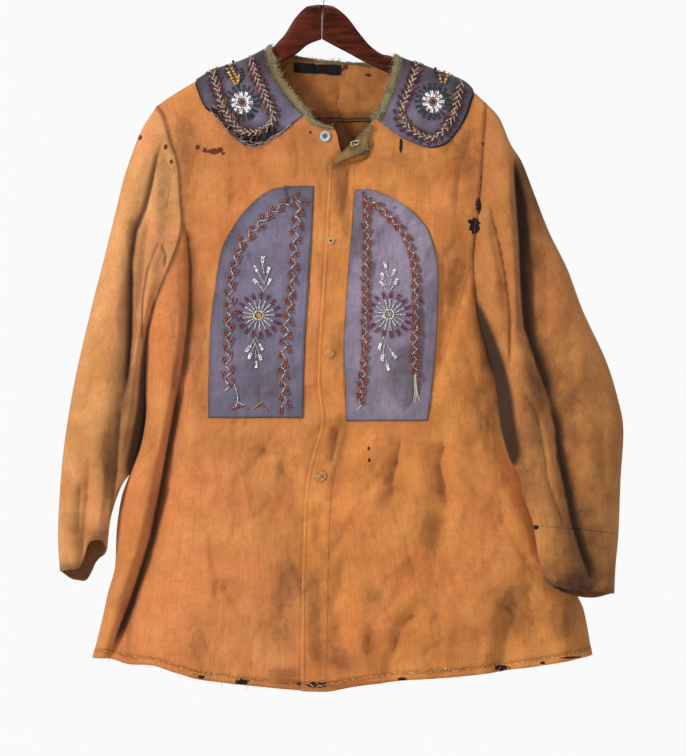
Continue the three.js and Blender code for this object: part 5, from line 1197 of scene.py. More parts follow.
def collar_lift(x, height):
    """The collar stands off by 0.8 mm, and up to 1.2 mm more in a slow ripple."""
    return 0.8 + 0.6 * (1 + np.sin(x / 13 + height / 31) * np.sin(height / 17 - x / 37))


at_right, at_left = over_shoulder(right_front_depth), over_shoulder(left_front_depth)
mauve = tape("mauve_cotton", "7d7489", "544c5e", "2f2426", 1500.0, 0.86, 0.2, 5.0)
mauve_inside = tape("mauve_inside", "6f6578", "544a5c", "2e2528", 1500.0, 0.9)
black_lining = tape("black_lining", "1d1a1c", "0f0d0f", "2d2420", 1500.0, 0.86)
ragged = np.random.default_rng(61)
shares = np.linspace(0, 1, 56)[None, :] ** 0.9


def frayed_edge(lines, torn, depth):
    """How far each line's outer end is eaten away: three sizes of random steps, smoothed, over the
    torn stretch of the edge."""
    along = np.linspace(0, 1, lines)
    bites = sum(size * np.interp(along, np.linspace(0, 1, number), ragged.uniform(0, 1, number))
                for number, size in ((30, 0.4), (80, 0.4), (lines, 0.2)))
    return bites * depth * ease((torn - along) / 0.03 + 0.5)


for name, rows, at, torn in (("right", COLLAR_RIGHT, at_right, 0.4), ("left", COLLAR_LEFT, at_left, 0.0)):
    lines = 260
    eaten = (frayed_edge(lines, torn, 0.2) * (1 + 2.6 * np.exp(-((np.linspace(0, 1, lines) - 0.11) / 0.06) ** 2)))[:, None]
    x, height = trim_grid(rows, 0, 2, CREST, lines, shares * (1 - eaten) * 0.985)
    along = np.linspace(0, 1, lines)[:, None] + 0 * shares
    rim = np.exp(-(1 - shares) / 0.018) + 0 * along
    # Darker at the seam, along the outer edge and at the shoulder crest; around the vine it is painted shade of the
    # beads.
    darkening = 0.4 * np.exp(-(1 - shares) / 0.1) + 0.5 * np.exp(-shares / 0.07) + 0.25 * rim
    darkening = darkening + 0.65 * np.exp(-((along * 12 - CREST) / 1.3) ** 2)
    vine = np.array(VINES[name], float)
    away = np.min([np.hypot(x - vx, height - vz) for vx, vz in
                   np.concatenate([vine[:-1] + np.diff(vine, axis=0) * t for t in np.linspace(0, 1, 5)])], axis=0)
    darkening = darkening + 0.55 * np.exp(-(away / 11) ** 2)
    darkening = darkening + (0.5 * ease((torn - along) / 0.1) * ease((shares - 0.6) / 0.3) if torn else 0)
    # A thin line of painted shade just inside the outer edge, and a paler rim on the edge itself.
    collar, grid = sewn_on("collar_half_" + name, at, x, height, collar_lift(x, height), 1.2,
                           [mauve, mauve_inside], "mauve_cloth", soil=np.clip(darkening, 0, 1), hollow=0.5 * np.exp(-((1 - shares) / 0.012 - 2.4) ** 2) - 0.5 * rim)
    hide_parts("collar_" + name)
    eaten = frayed_edge(lines, torn, 0.06)[:, None]
    x, height = trim_grid(rows, 0, 2, CREST, lines, (0.1 + 0.9 * shares) * (1.005 - eaten))
    lining, grid = sewn_on("collar_lining_" + name, at, x, height, 0.25, 0.45, [black_lining], "black_cloth",
                           soil=0 * x + 0.2, hollow=0 * x)

# ---- Neck binding ----------------------------------------------------------------------------
# Olive cotton tape folded over the neck edge and sewn through. It has worn to a fringe of threads.

BINDING_SHARE = (-0.1, 0.9)
TUFTS = {"right": [52, 66, 178], "left": [4, 14, 30, 92]}  # rows where the tape has frayed to a tuft
olive = tape("olive_tape", "8f8059", "665939", "3a2e1b", 1300.0, 0.9, 0.25)


def fringe(name, start, way, length, bend, radius, tint, material, sides=4):
    """Loose threads as one mesh. A thread runs start + way t + bend t² over its length, six rings of a
    thin tube that ends at a third of its width. tint is one colour a thread."""
    number = len(start)
    t = np.linspace(0, 1, 6)[None, :, None]
    way = way / np.linalg.norm(way, axis=1, keepdims=True)
    path = start[:, None] + length[:, None, None] * (way[:, None] * t + bend[:, None] * t * t)
    step = np.gradient(path, axis=1)
    step /= np.linalg.norm(step, axis=2, keepdims=True)
    side = np.cross(step, [0.31, 0.81, 0.5])
    side /= np.linalg.norm(side, axis=2, keepdims=True)
    other = np.cross(step, side)
    angle = np.linspace(0, 2 * np.pi, sides, endpoint=False)[None, None, :, None]
    thin = (radius * (1 - 0.66 * t ** 2))[..., None]
    points = path[:, :, None] + thin * (side[:, :, None] * np.cos(angle) + other[:, :, None] * np.sin(angle))
    return strewn(name, points, tint, material)


def strewn(name, points, tint, material):
    """Many like small tubes as one mesh: points is tube x ring x side x 3, tint one colour a tube."""
    number, rings, sides = points.shape[:3]
    faces = [(group[None] + rings * sides * np.arange(number)[:, None, None]).reshape(-1, group.shape[1])
             for group in tube_faces(rings, sides)]
    points = points.reshape(-1, 3)
    piece = mesh_piece(name, points, outward(points, faces), [material],
                       tint=np.repeat(tint, rings * sides, axis=0))
    return piece


def thread_finish(name, rough=0.85):
    """Twisted thread in its own tint, broken up along it."""
    material, tree, shader = new_material(name)
    place = wire(tree, "ShaderNodeTexCoord").outputs["Object"]
    tint = wire(tree, "ShaderNodeAttribute", {"attribute_name": "tint"}).outputs["Color"]
    twist = noise(tree, place, 1400.0, 2.0)
    shade = mix(tree, ramp(tree, twist, 0.3, 0.7, 0.0, 0.45), tint, linear("2a180c"))
    tree.links.new(shade, shader.inputs["Base Color"])
    tree.links.new(ramp(tree, twist, 0.2, 0.8, rough - 0.15, rough), shader.inputs["Roughness"])
    shader.inputs["Sheen Weight"].default_value = 0.2
    bumped(tree, shader, twist, 0.4, 0.0003)
    return material


def tints(draw, number, *hex_colours):
    """One of the colours for each thing, between 0.75 and 1.2 of its brightness."""
    palette = np.array([linear(colour)[:3] for colour in hex_colours])
    return palette[draw.integers(0, len(palette), number)] * draw.uniform(0.75, 1.2, (number, 1))


thread = thread_finish("cotton_thread")
for name, rows, at, crest in (("right", BINDING_START + COLLAR_RIGHT, at_right, CREST + 3),
                              ("left", COLLAR_LEFT, at_left, CREST)):
    draw = np.random.default_rng(71 if name == "right" else 72)
    lines = 300
    shares = np.linspace(0, 1, 22)[None, :]
    wide = BINDING_SHARE[0] + (BINDING_SHARE[1] - BINDING_SHARE[0]) * shares
    nibble = 0.16 * np.interp(np.linspace(0, 1, lines), np.linspace(0, 1, 90), draw.uniform(-1, 1, 90))[:, None]
    x, height = trim_grid(rows, 4, 0, crest, lines, wide + nibble * (1 - shares) ** 3)
    puff = 1.1 * np.sqrt(np.clip(1 - (2 * shares - 1) ** 2, 0, 1)) + 0.25 * np.sin(np.arange(lines) * 0.9)[:, None]
    stitched = np.exp(-((shares - 0.8) / 0.06) ** 2) + 0 * x
    outer, inner = at(x, height, 1.5 + puff - 0.5 * stitched)[0], at(x, height, 0.8 + 0 * x)[0]
    points, faces = walled(outer, inner)
    twice = lambda field: np.concatenate([np.broadcast_to(field, x.shape).ravel()] * 2)
    # The stitched line is darker: painted shade, with some soiling.
    binding = mesh_piece("binding_" + name, points, faces, [olive], uv=cloth_uv(outer),
                         soil=twice(0.35 * stitched + 0.3 * nibble), hollow=twice(0.5 * stitched))
    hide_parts("neck_binding_" + name)
    number = 620
    row = draw.integers(0, lines, number)
    column = draw.choice([0, 1, 2, 20, 21], number, p=[0.42, 0.24, 0.14, 0.1, 0.1])
    start = outer[row, column]
    aside = outer[row, 0] - outer[row, 21]
    aside /= np.maximum(np.linalg.norm(aside, axis=1, keepdims=True), 1e-6)
    way = aside * np.where(column < 5, 1.0, -0.7)[:, None] + draw.normal(0, 0.55, (number, 3)) + [0, -0.25, -0.1]
    fringe("fringe_" + name, start, way, draw.uniform(1.2, 4.6, number) * np.where(draw.random(number) < 0.06, 2.2, 1),
           draw.normal(0, 0.4, (number, 3)), 0.16, tints(draw, number, "9c8c5a", "7d6f42", "c4b88e", "3e3622"),
           thread)
    row = np.concatenate([draw.integers(place, place + 7, 60) for place in TUFTS[name]])
    start = outer[row, draw.integers(0, 12, len(row))]
    way = draw.normal(0, 1, (len(row), 3)) * [1, 0.4, 1] + [0, -0.5, 0.3]
    fringe("tufts_" + name, start, way, draw.uniform(2, 6, len(row)), draw.normal(0, 0.8, (len(row), 3)), 0.22,
           tints(draw, len(row), "b0a478", "d6ccae", "7d6f42"), thread)

x, down = np.meshgrid(np.linspace(-66, 101, 160), np.linspace(0, 1, 30))
crest = np.interp(x, [-71, -63, -48, -26, -3, 17, 39, 64, 86, 99, 104],
                  [-128, -135, -140, -144, -147, -149, -151, -153, -151, -147, -142])
turn = ease((down - 0.42) / 0.16)
fall = np.where(down < 0.5, (0.5 - down) * 12, (down - 0.5) * (8.4 + 2 * np.sin(x / 9)))
rim_tape, grid = sewn_on("binding_turned_in", at_back, x, crest + 1.6 - fall, 2.2 - 6.2 * turn, 0.5 - 1.3 * turn,
                         [olive], "olive_tape", soil=0.3 + 0.3 * np.sin(x / 23) ** 2, hollow=0 * x)

# ---- Turned-back corner ----------------------------------------------------------------------
# The top corner of the left front is folded outwards. Its unfaded khaki side shows, with a worn
# buttonhole whose cream stitches have come loose.

# Rows from the bottom of the fold up: a point of the fold, then a point of the free edges.
CORNER = [(15, -295, 22, -296), (28, -282, 42, -289), (42, -268, 62, -281), (56, -253, 67, -262),
          (69, -241, 71, -244)]
number, shares = np.linspace(0, 4, 90)[:, None], np.linspace(0, 1, 44)[None, :]
order = np.arange(5)
edge = [through([(k, row[c]) for k, row in enumerate(CORNER)], number) for c in range(4)]
x, z = edge[0] + (edge[2] - edge[0]) * shares, edge[1] + (edge[3] - edge[1]) * shares
curl = 0.8 + 3.2 * shares ** 2 * np.sin(np.pi * np.clip(number / 4, 0, 1)) + 0.5 * np.sin(number * 2.3) * shares


def at_left_front(x, z, lift=0.0):
    return on_cloth(left_front_depth, x, z, lift)


# The buttonhole's slit is painted as a dark patch: painted shade inside the slit.
corner_cloth = canvas("canvas_corner", "927448", "6f5430", "38260f", (), [(47, -268, 5, 1.2, 0.8)])
corner, grid = sewn_on(
    "turned_corner", at_left_front, x, z, curl, 1.4, [corner_cloth, canvas_inside], "canvas",
    # Darker along the fold and the free edge, with painted shade in a band just inside the free edge.
    soil=np.clip(0.5 * np.exp(-shares / 0.06) + 0.6 * np.exp(-(1 - shares) / 0.1) + 0.2 + 0 * x, 0, 1),
    hollow=0.8 * np.exp(-((1 - shares) / 0.09 - 1) ** 2 * 4) + 0 * x)
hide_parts("front_left_corner")

# ---- Chest patches ---------------------------------------------------------------------------
# Two panels of the same mauve cotton as the collar, round at the upper outer corner, turned under at
# the edge and sewn down with brown thread.

# Rows from the top down: z, outer x, inner x.
PATCH_RIGHT = [(-328, -48, -10), (-333, -68, -10), (-344, -87, -10.5), (-359, -103, -11), (-378, -118, -12),
               (-414, -138, -14), (-462, -147, -17), (-522, -154, -21), (-594, -157, -24), (-652, -157, -25)]
PATCH_LEFT = [(-333, 71, 48), (-342, 94, 47), (-354, 116, 46), (-369, 134, 45), (-388, 149, 43),
              (-421, 160, 40), (-462, 164, 37), (-546, 161, 32), (-619, 154, 34), (-656, 149, 35)]


def at_right_front(x, z, lift=0.0):
    return on_cloth(right_front_depth, x, z, lift)


patch_cloths = {"right": tape("patch_cotton_right", "7c748a", "585262", "3a2f30", 1500.0, 0.86, 0.2, 6.0),
                "left": tape("patch_cotton_left", "93869a", "6f6474", "453732", 1500.0, 0.86, 0.2, 6.0)}
PATCH_SOIL = [(116, -600, 28, 50, 0.5), (144, -520, 14, 44, 0.4), (50, -403, 12, 34, 0.45), (-80, -600, 40, 30, 0.25),
              (-130, -470, 14, 60, 0.25), (-44, -345, 10, 16, 0.4)]
patch_edges = {}
for name, rows, at in (("right", PATCH_RIGHT, at_right_front), ("left", PATCH_LEFT, at_left_front)):
    number, shares = np.linspace(0, 9, 240)[:, None], np.linspace(0, 1, 96)[None, :]
    z, outer_x, inner_x = (through([(k, row[c]) for k, row in enumerate(rows)], number) for c in range(3))
    x, z = outer_x + (inner_x - outer_x) * shares, z + 0 * shares
    border = np.minimum(np.minimum(np.abs(x - outer_x), np.abs(x - inner_x)),
                        np.minimum(np.abs(z - rows[0][0]), np.abs(z - rows[-1][0])))
    turned = 0.3 * ease((6 - border) / 3) * ease(border / 0.8 + 0.3)
    outer, inner = at(x, z, 2.0 + turned - 0.4)[0], at(x, z, 0.8 + 0 * x)[0]
    points, faces = walled(outer, inner)
    twice = lambda field: np.concatenate([np.broadcast_to(field, x.shape).ravel()] * 2)
    darkening = 0.8 * np.exp(-border / 0.9) + 0.2 * np.exp(-border / 8) + soil_of(x, z, PATCH_SOIL)
    # Darker along the turned edge, with painted shade in a line there.
    patch = mesh_piece("chest_patch_" + name, points, faces, [patch_cloths[name]], uv=cloth_uv(outer),
                       soil=twice(np.clip(darkening, 0, 1)), hollow=twice(0.5 * np.exp(-border / 0.7)))
    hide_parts("patch_" + name)
    ends = [through([(k, row[c]) for k, row in enumerate(rows)], np.linspace(0.02, 8.98, 120)) for c in range(3)]
    patch_edges[name] = np.concatenate([np.stack([ends[1], ends[0]], axis=1),
                                        np.stack([ends[2], ends[0]], axis=1)[::-1]])

# ---- Beadwork --------------------------------------------------------------------------------
# Glass beads threaded in short strands and couched on the mauve cotton: vines of two-coloured leaves,
# round flowers and small sprays, of ordinary kinds and worked by rule.

BARREL = [(-0.5, 0.55), (-0.27, 1.0), (0.27, 1.0), (0.5, 0.55)]  # share of the length, share of the radius
WHITE, PINKISH, BRICK, DARK_RED = "cfc9c8", "b5a092", "95492a", "511214"
MAGENTA, GOLD, TEAL, JET, SILVER, OCHRE = "741a50", "d09c42", "0e3029", "0b0b0e", "a7a6a8", "c9a233"
PATCH_BEAD, COLLAR_BEAD = 2.5, 2.1


def barrels(name, at, table, lift, material):
    """Beads or stitches as one mesh. Each is a six-sided barrel of four rings, laid along its way on the
    cloth with its lower side at lift. A row of the table is x, z, way x, way z, length, radius and tint."""
    x, z, way_x, way_z, length, radius = table[:, :6].T
    base = lift(x, z) if callable(lift) else lift
    centre, normal = at(x, z, base + radius)
    ahead = at(x + 0.6 * way_x, z + 0.6 * way_z, base + radius)[0]
    axis = ahead - centre
    axis /= np.linalg.norm(axis, axis=1, keepdims=True)
    side = np.cross(axis, normal)
    side /= np.linalg.norm(side, axis=1, keepdims=True)
    up = np.cross(side, axis)
    angle = (np.arange(6) * np.pi / 3)[None, None, :, None]
    along = np.array([row[0] for row in BARREL])[None, :, None, None] * length[:, None, None, None]
    round_by = np.array([row[1] for row in BARREL])[None, :, None, None] * radius[:, None, None, None]
    points = (centre[:, None, None] + along * axis[:, None, None]
              + round_by * (np.cos(angle) * side[:, None, None] + np.sin(angle) * up[:, None, None]))
    return strewn(name, points, table[:, 6:9], material)


def strand(start, end, size, colour, bow=0.0, thick=1.0):
    """Beads threaded from start to end, size apart, bowed to one side by a share of the length."""
    start, end = np.asarray(start, float), np.asarray(end, float)
    way = end - start
    number = max(int(round(np.linalg.norm(way) / size)), 1)
    t = ((np.arange(number) + 0.5) / number)[:, None]
    side = np.array([-way[1], way[0]])
    place = start + way * t + side * bow * 4 * t * (1 - t)
    aim = way + side * bow * 4 * (1 - 2 * t)
    aim = aim / np.linalg.norm(aim, axis=1, keepdims=True)
    tint = np.broadcast_to(linear(colour)[:3], (number, 3))
    return np.column_stack([place, aim, np.full(number, size * 0.86), np.full(number, size * 0.5 * thick), tint])


def turned_by(way, degrees):
    c, s = np.cos(np.radians(degrees)), np.sin(np.radians(degrees))
    return np.array([way[0] * c - way[1] * s, way[0] * s + way[1] * c])


def beside(start, way, length, size, colour, gap, bow=0.0):
    """Two strands side by side."""
    offset = np.array([-way[1], way[0]]) * gap
    return [strand(start + offset, start + offset + way * length, size, colour, bow),
            strand(start - offset, start - offset + way * length, size, colour, -bow)]


def along_path(path, pitch, first=0.0):
    """Points and unit ways at every pitch of arc length along a path of points, rounded at its corners."""
    path = np.asarray(path, float)
    order = np.arange(len(path))
    fine = np.linspace(0, len(path) - 1, 400)
    smooth = np.stack([through(list(zip(order, path[:, k])), fine) for k in (0, 1)], axis=1)
    run = np.concatenate([[0], np.cumsum(np.linalg.norm(np.diff(smooth, axis=0), axis=1))])
    places = np.arange(first, run[-1], pitch)
    points = np.stack([np.interp(places, run, smooth[:, k]) for k in (0, 1)], axis=1)
    ahead = np.stack([np.interp(places + 1, run, smooth[:, k]) for k in (0, 1)], axis=1)
    behind = np.stack([np.interp(places - 1, run, smooth[:, k]) for k in (0, 1)], axis=1)
    way = ahead - behind
    return points, way / np.linalg.norm(way, axis=1, keepdims=True)


def leafy_vine(path, pitch, stalk, tip, draw):
    """Leaves in turn to the left and right of a path: a thin white strand that goes forward and
    outward, then a brick tip of two rows."""
    rows = []
    for k, (point, way) in enumerate(zip(*along_path(path, pitch))):
        hand = 1 if k % 2 else -1
        out = turned_by(way, hand * (41 + draw.normal(0, 3)))
        rows.append(strand(point - out * 5.5, point + out * stalk, 1.9, WHITE, 0.05 * hand, 0.9))
        lean = turned_by(way, hand * (15 + draw.normal(0, 6)))
        rows += beside(point + out * (stalk - 1), lean, tip * draw.uniform(0.9, 1.1), PATCH_BEAD, BRICK, 1.2, 0.035)
    return rows


def herringbone(path, pitch, leaf, draw):
    """Close-set leaves in turn to both sides that point backward and outward and cross at the path:
    pinkish near the path, dark red at the tip, with a second dark row beside the tip."""
    rows = []
    for k, (point, way) in enumerate(zip(*along_path(path, pitch))):
        hand = 1 if k % 2 else -1
        out = turned_by(-way, hand * (36 + draw.normal(0, 2.5)))
        near, aside = point - out * 3.6, turned_by(out, -90 * hand) * COLLAR_BEAD
        share, length = draw.uniform(0.5, 0.64), leaf * draw.uniform(0.95, 1.12)
        red = DARK_RED if k % 6 else BRICK
        rows.append(strand(near, near + out * length * share, COLLAR_BEAD, PINKISH, 0.0, 1.1))
        rows.append(strand(near + out * length * share, near + out * length, COLLAR_BEAD, red, 0.0, 1.1))
        rows.append(strand(near + aside + out * length * 0.3, near + aside + out * length * 0.94, COLLAR_BEAD, red))
    return rows


def daisy(centre, petals, inner, outer, colour, size, pair=0.0, turn=0.0):
    """Petals out from the centre, each one strand, or two side by side."""
    rows = []
    for k in range(petals):
        way = turned_by((1.0, 0.0), turn + 360 * k / petals)
        start = np.asarray(centre) + way * inner
        if pair:
            rows += beside(start, way, outer - inner, size, colour, pair)
        else:
            rows.append(strand(start, start + way * (outer - inner), size, colour))
    return rows


def bead_ring(centre, radius, size, colour, wide=1.0, way=(1.0, 0.0), tall=None):
    """A closed ring of beads: an ellipse of half width radius across its way and half length tall."""
    tall = tall or radius
    number = max(int(round(np.pi * (radius + tall) / size)), 5)
    angle = 2 * np.pi * np.arange(number) / number
    way = np.asarray(way, float)
    side = np.array([-way[1], way[0]])
    place = np.asarray(centre) + tall * np.cos(angle)[:, None] * way + radius * np.sin(angle)[:, None] * side
    aim = -tall * np.sin(angle)[:, None] * way + radius * np.cos(angle)[:, None] * side
    aim /= np.linalg.norm(aim, axis=1, keepdims=True)
    tint = np.broadcast_to(linear(colour)[:3], (number, 3))
    return np.column_stack([place, aim, np.full(number, size * 0.86), np.full(number, size * 0.5 * wide), tint])


def filled_round(centre, radius, size, colour):
    """Rings of beads from the middle outwards."""
    steps = np.arange(size * 0.4, radius, size * 0.95)
    return [bead_ring(centre, step, size, colour) for step in steps]


def spray(base, tips, stem_colour, tip_colour, size, tip_length):
    """Thin stems that leave one base for their tips, each ending in a bud two beads wide."""
    rows = []
    base = np.asarray(base, float)
    for tip in tips:
        tip = np.asarray(tip, float)
        reach = max(abs(tip[1] - base[1]) - 24, 0) / max(abs(tip[1] - base[1]), 1)
        foot = base + (tip - base) * [0.0, reach]
        way = (tip - foot) / np.linalg.norm(tip - foot)
        bud = tip - way * tip_length
        rows.append(strand(foot, bud, size * 0.8, stem_colour, 0.0, 0.85))
        rows += beside(bud, way, tip_length, size, tip_colour, size * 0.48)
    return rows


def scattered(table, draw, shade=0.34, shift=0.18):
    """Hand-made unevenness: places, ways and brightness a little off."""
    table = table.copy()
    table[:, 0:2] += draw.normal(0, shift, (len(table), 2))
    way = table[:, 2:4] + draw.normal(0, 0.1, (len(table), 2))
    table[:, 2:4] = way / np.linalg.norm(way, axis=1, keepdims=True)
    table[:, 4:6] *= draw.uniform(0.88, 1.08, (len(table), 1))
    table[:, 6:9] *= draw.uniform(1 - shade, 1 + shade, (len(table), 1))
    return table[draw.random(len(table)) > 0.012]


def glass_beads():
    """Glass in its own tint, dulled by dirt in patches, bright where it is clean."""
    material, tree, shader = new_material("glass_beads")
    place = wire(tree, "ShaderNodeTexCoord").outputs["Object"]
    tint = wire(tree, "ShaderNodeAttribute", {"attribute_name": "tint"}).outputs["Color"]
    grime = noise(tree, place, 220.0, 3.0, 0.6)
    dull = ramp(tree, grime, 0.42, 0.75, 0.0, 0.5)
    tree.links.new(mix(tree, dull, tint, linear("4a3a30")), shader.inputs["Base Color"])
    tree.links.new(ramp(tree, grime, 0.3, 0.75, 0.14, 0.5), shader.inputs["Roughness"])
    shader.inputs["Specular IOR Level"].default_value = 0.6
    shader.inputs["Coat Weight"].default_value = 0.3
    shader.inputs["Coat Roughness"].default_value = 0.08
    bumped(tree, shader, grime, 0.2, 0.0002)
    return material


glass = glass_beads()
draw = np.random.default_rng(81)
patch_work = {
    "right": {
        "vine": [(-131, -612), (-129, -575), (-129, -546), (-128, -510), (-125.6, -474),
                 (-121, -440), (-111, -411), (-87, -382), (-63, -361), (-34, -347), (-31.5, -356), (-36, -402),
                 (-39, -440), (-42, -474), (-46, -510), (-49.6, -546), (-52, -582), (-51, -636)],
        "flower": (-86.9, -508.9), "heart": OCHRE, "pitch": 9.6,
        "sprays": [((-80, -475), [(-80.5, -426), (-93, -440), (-71.4, -441), (-94, -458), (-69, -457)]),
                   ((-92, -539), [(-104, -560), (-81, -557), (-101.5, -570), (-83, -572), (-90, -582)])]},
    "left": {
        "vine": [(54, -638), (60, -570), (61.3, -522), (62.6, -462), (63.7, -402), (62.6, -352), (69, -349),
                 (94, -370), (115.5, -394), (127.4, -426), (132.4, -462), (132.4, -510), (130, -558), (130, -588)],
        "flower": (95.1, -507.8), "heart": SILVER, "pitch": 7.4,
        "sprays": [((95, -477), [(89, -433), (103.5, -444), (84, -450), (107, -458), (82.5, -461)]),
                   ((89, -536), [(80.6, -557), (85.4, -573), (95, -586), (105, -569)])]},
}
for name, at in (("right", at_right_front), ("left", at_left_front)):
    work = patch_work[name]
    centre = np.array(work["flower"])
    rows = leafy_vine(work["vine"], work["pitch"], 5.4 if name == "right" else 4.2, 12.5, draw)
    rows += daisy(centre, 17, 8.2, 22.5, WHITE, 2.1)
    rows += daisy(centre, 17, 22.5, 32.5, MAGENTA, 2.3, 1.35)
    rows += [bead_ring(centre, 6.4, 2.5, "e6dcc2")] + filled_round(centre, 4.6, 2.2, work["heart"])
    for base, tips in work["sprays"]:
        rows += spray(base, tips, WHITE, "fbfaf8", 2.3, 9.4)
    if name == "right":
        rows += [strand((-121, -606), (-119, -636), 1.9, WHITE, 0.12), strand((-127, -640), (-114, -636), 2.4, BRICK),
                 strand((-112, -634), (-102, -640), 2.4, BRICK), strand((-95, -640), (-84, -630), 2.4, OCHRE),
                 strand((-84, -630), (-74, -644), 2.6, BRICK), strand((-117, -630), (-106, -635), 1.8, WHITE)]
    barrels("beads_patch_" + name, at, scattered(np.concatenate(rows), draw), 2.05, glass)

collar_work = {
    "right": {
        "flower": (-110.6, -211.1), "gold": [
            ((-119.5, -186), (-132.4, -163), GOLD), ((-117.5, -177), (-127.5, -157), GOLD),
            ((-117, -186), (-114, -171), GOLD), ((-130.5, -175), (-136, -160), JET),
            ((-133.5, -172), (-132, -158), JET), ((-119, -166), (-123.5, -153), JET),
            ((-112.5, -181), (-112, -161), JET), ((-109.8, -178), (-110.5, -164), JET)]},
    "left": {
        "flower": (156.9, -209.4), "gold": [
            ((169.5, -184), (164.5, -166), GOLD), ((172.5, -184), (179.5, -169), GOLD),
            ((170.5, -174), (174, -163), GOLD), ((161.5, -174), (158.5, -159), JET),
            ((164.5, -163), (158.5, -155), JET), ((182.5, -172), (183, -164), JET), ((177, -162), (170, -159), JET)]},
}
for name, at in (("right", at_right), ("left", at_left)):
    work = collar_work[name]
    centre = np.array(work["flower"])
    rows = herringbone(VINES[name], 4.1, 19.5, draw)
    rows += daisy(centre, 11, 6.4, 15.4, "f4f2ef", 2.5, 1.15)
    rows += daisy(centre, 19, 16.2, 26.5, TEAL, 2.3, 1.1, 8)
    rows += [bead_ring(centre, 4.6, 2.2, "c08a78")] + filled_round(centre, 3.2, 1.9, "4a1210")
    for start, end, colour in work["gold"]:
        rows.append(strand(start, end, 4.3, colour, 0.0, 0.94))
    barrels("beads_collar_" + name, at, scattered(np.concatenate(rows), draw),
            lambda x, z: collar_lift(x, z) + 1.25, glass)
    # The vine goes on round the back half, and a second flower lies behind each shoulder.
    side = -1 if name == "right" else 1
    vine = [(17 + side * reach, z) for reach, z in ((8, -246), (50, -243), (100, -231), (140, -211), (168, -181))]
    bloom = np.array([17 + side * 92, -190.0])
    rows = herringbone(vine, 4.1, 19.5, draw)
    rows += daisy(bloom, 11, 6.4, 14.4, "f4f2ef", 2.5, 1.15)
    rows += daisy(bloom, 18, 15.4, 22.5, TEAL, 2.3, 1.1, 8)
    rows += [bead_ring(bloom, 4.6, 2.2, "c08a78")] + filled_round(bloom, 3.2, 1.9, "4a1210")
    barrels("beads_collar_back_" + name, at_back, scattered(np.concatenate(rows), draw),
            lambda x, z: collar_lift(x, 2 * shoulder_z(x) - z) + 1.25, glass)

# ---- Fasteners -------------------------------------------------------------------------------
# A dished pale button at the neck, a stud's ring in a worn eyelet, a covered button, and a turned brown
# button with a knob.

# Profiles from the middle of the back to the middle of the front: radius, height.
BUTTONS = {
    "top": (at_right_front, 6, -258, [(0, 0), (5.6, 0), (6.9, 0.3), (7.3, 1.2), (7.4, 2), (6.9, 2.8), (6, 3), (5.1, 2.9),
                                      (4.2, 2.4), (3.2, 1.7), (1.4, 1.3), (0, 1.2)]),
    "upper": (at_left_front, 14, -405, [(0, 0), (4, 0), (4.4, 0.3), (4.4, 0.8), (3.9, 1.35), (3.3, 1.5), (2.7, 1.3),
                                        (2.2, 0.9), (1.4, 0.75), (0, 0.7)]),
    "middle": (at_left_front, 12, -562, [(0, 0), (6, 0), (6.5, 0.3), (6.6, 0.9), (6.1, 1.5), (5.2, 1.9), (4, 2.2),
                                         (2.4, 2.4), (1.2, 2.5), (0, 2.5)]),
    "lower": (at_left_front, 0, -733, [(0, 0), (7.6, 0), (8, 0.4), (7.9, 1.2), (7.3, 1.7), (6.4, 1.8), (5.4, 1.5),
                                       (4.4, 1.4), (3.5, 1.6), (3.2, 2.2), (3, 3), (2.5, 3.6), (1.4, 3.9), (0, 3.9)]),
}


def turned_piece(name, at, x, z, profile, material):
    """A profile of radius and height swept round the cloth's normal at a place: 48 steps, closed in a
    point at both ends."""
    centre, normal = (value.reshape(3) for value in at(np.array(float(x)), np.array(float(z)), 0.8))
    side = np.cross(normal, [0.0, 0.0, 1.0])
    side /= np.linalg.norm(side)
    up = np.cross(normal, side)
    angle = np.linspace(0, 2 * np.pi, 48, endpoint=False)[None, :, None]
    profile = np.array(profile[1:-1], float)[:, :, None, None]
    rings = centre + profile[:, 0] * (side * np.cos(angle) + up * np.sin(angle)) + profile[:, 1] * normal
    points = rings.reshape(-1, 3)
    piece = mesh_piece(name, points, outward(points, tube_faces(*rings.shape[:2])), [material])
    return piece


def button_finish(name, pale, deep, rough, dish=(), eye=()):
    """Moulded or turned button stuff, clouded, with fine scratches that dull it, a tinted dish and a
    dark eye."""
    material, tree, shader = new_material(name)
    place = wire(tree, "ShaderNodeTexCoord").outputs["Object"]
    cloudy = noise(tree, place, 260.0, 3.0)
    scratch = noise(tree, place, 1.0, 2.0, 0.6, (3000.0, 3000.0, 260.0))
    colour = mix(tree, ramp(tree, cloudy, 0.35, 0.65), linear(pale), linear(deep))
    colour = spotted(tree, place, colour, dish, linear("5f7c88"))
    colour = spotted(tree, place, colour, eye, linear("201a18"))
    tree.links.new(colour, shader.inputs["Base Color"])
    tree.links.new(ramp(tree, scratch, 0.35, 0.7, rough, rough + 0.25), shader.inputs["Roughness"])
    bumped(tree, shader, math(tree, "ADD", scratch, math(tree, "MULTIPLY", cloudy, 0.5)), 0.2, 0.0002)
    return material


for label, material, slot in (
        ("top", button_finish("pale_button", "bcc4c6", "98a6ac", 0.3, [(6, -258, 4.2, 4.2, 0.3)],
                              [(6, -258, 1.5, 1.5, 0.3)]), "pale_button"),
        ("upper", button_finish("stud_ring", "c9a871", "a57f48", 0.6, (), [(14, -405, 1.7, 1.7, 0.3)]), "brown_button"),
        ("middle", button_finish("covered_button", "c88a4e", "a86c34", 0.85), "canvas"),
        ("lower", button_finish("brown_button", "c08a4e", "966234", 0.5), "brown_button")):
    at, x, z, profile = BUTTONS[label]
    piece = turned_piece("fastener_" + label, at, x, z, profile, material)
    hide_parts("button_" + label)

# ---- Stitching and loose threads -------------------------------------------------------------
# Cotton thread: two rows down the overlap, a ragged row along the hem, rows round the patches and
# armholes, whipped eyelets, and ends of thread where seams have given way.

STITCH_RADIUS = 0.3


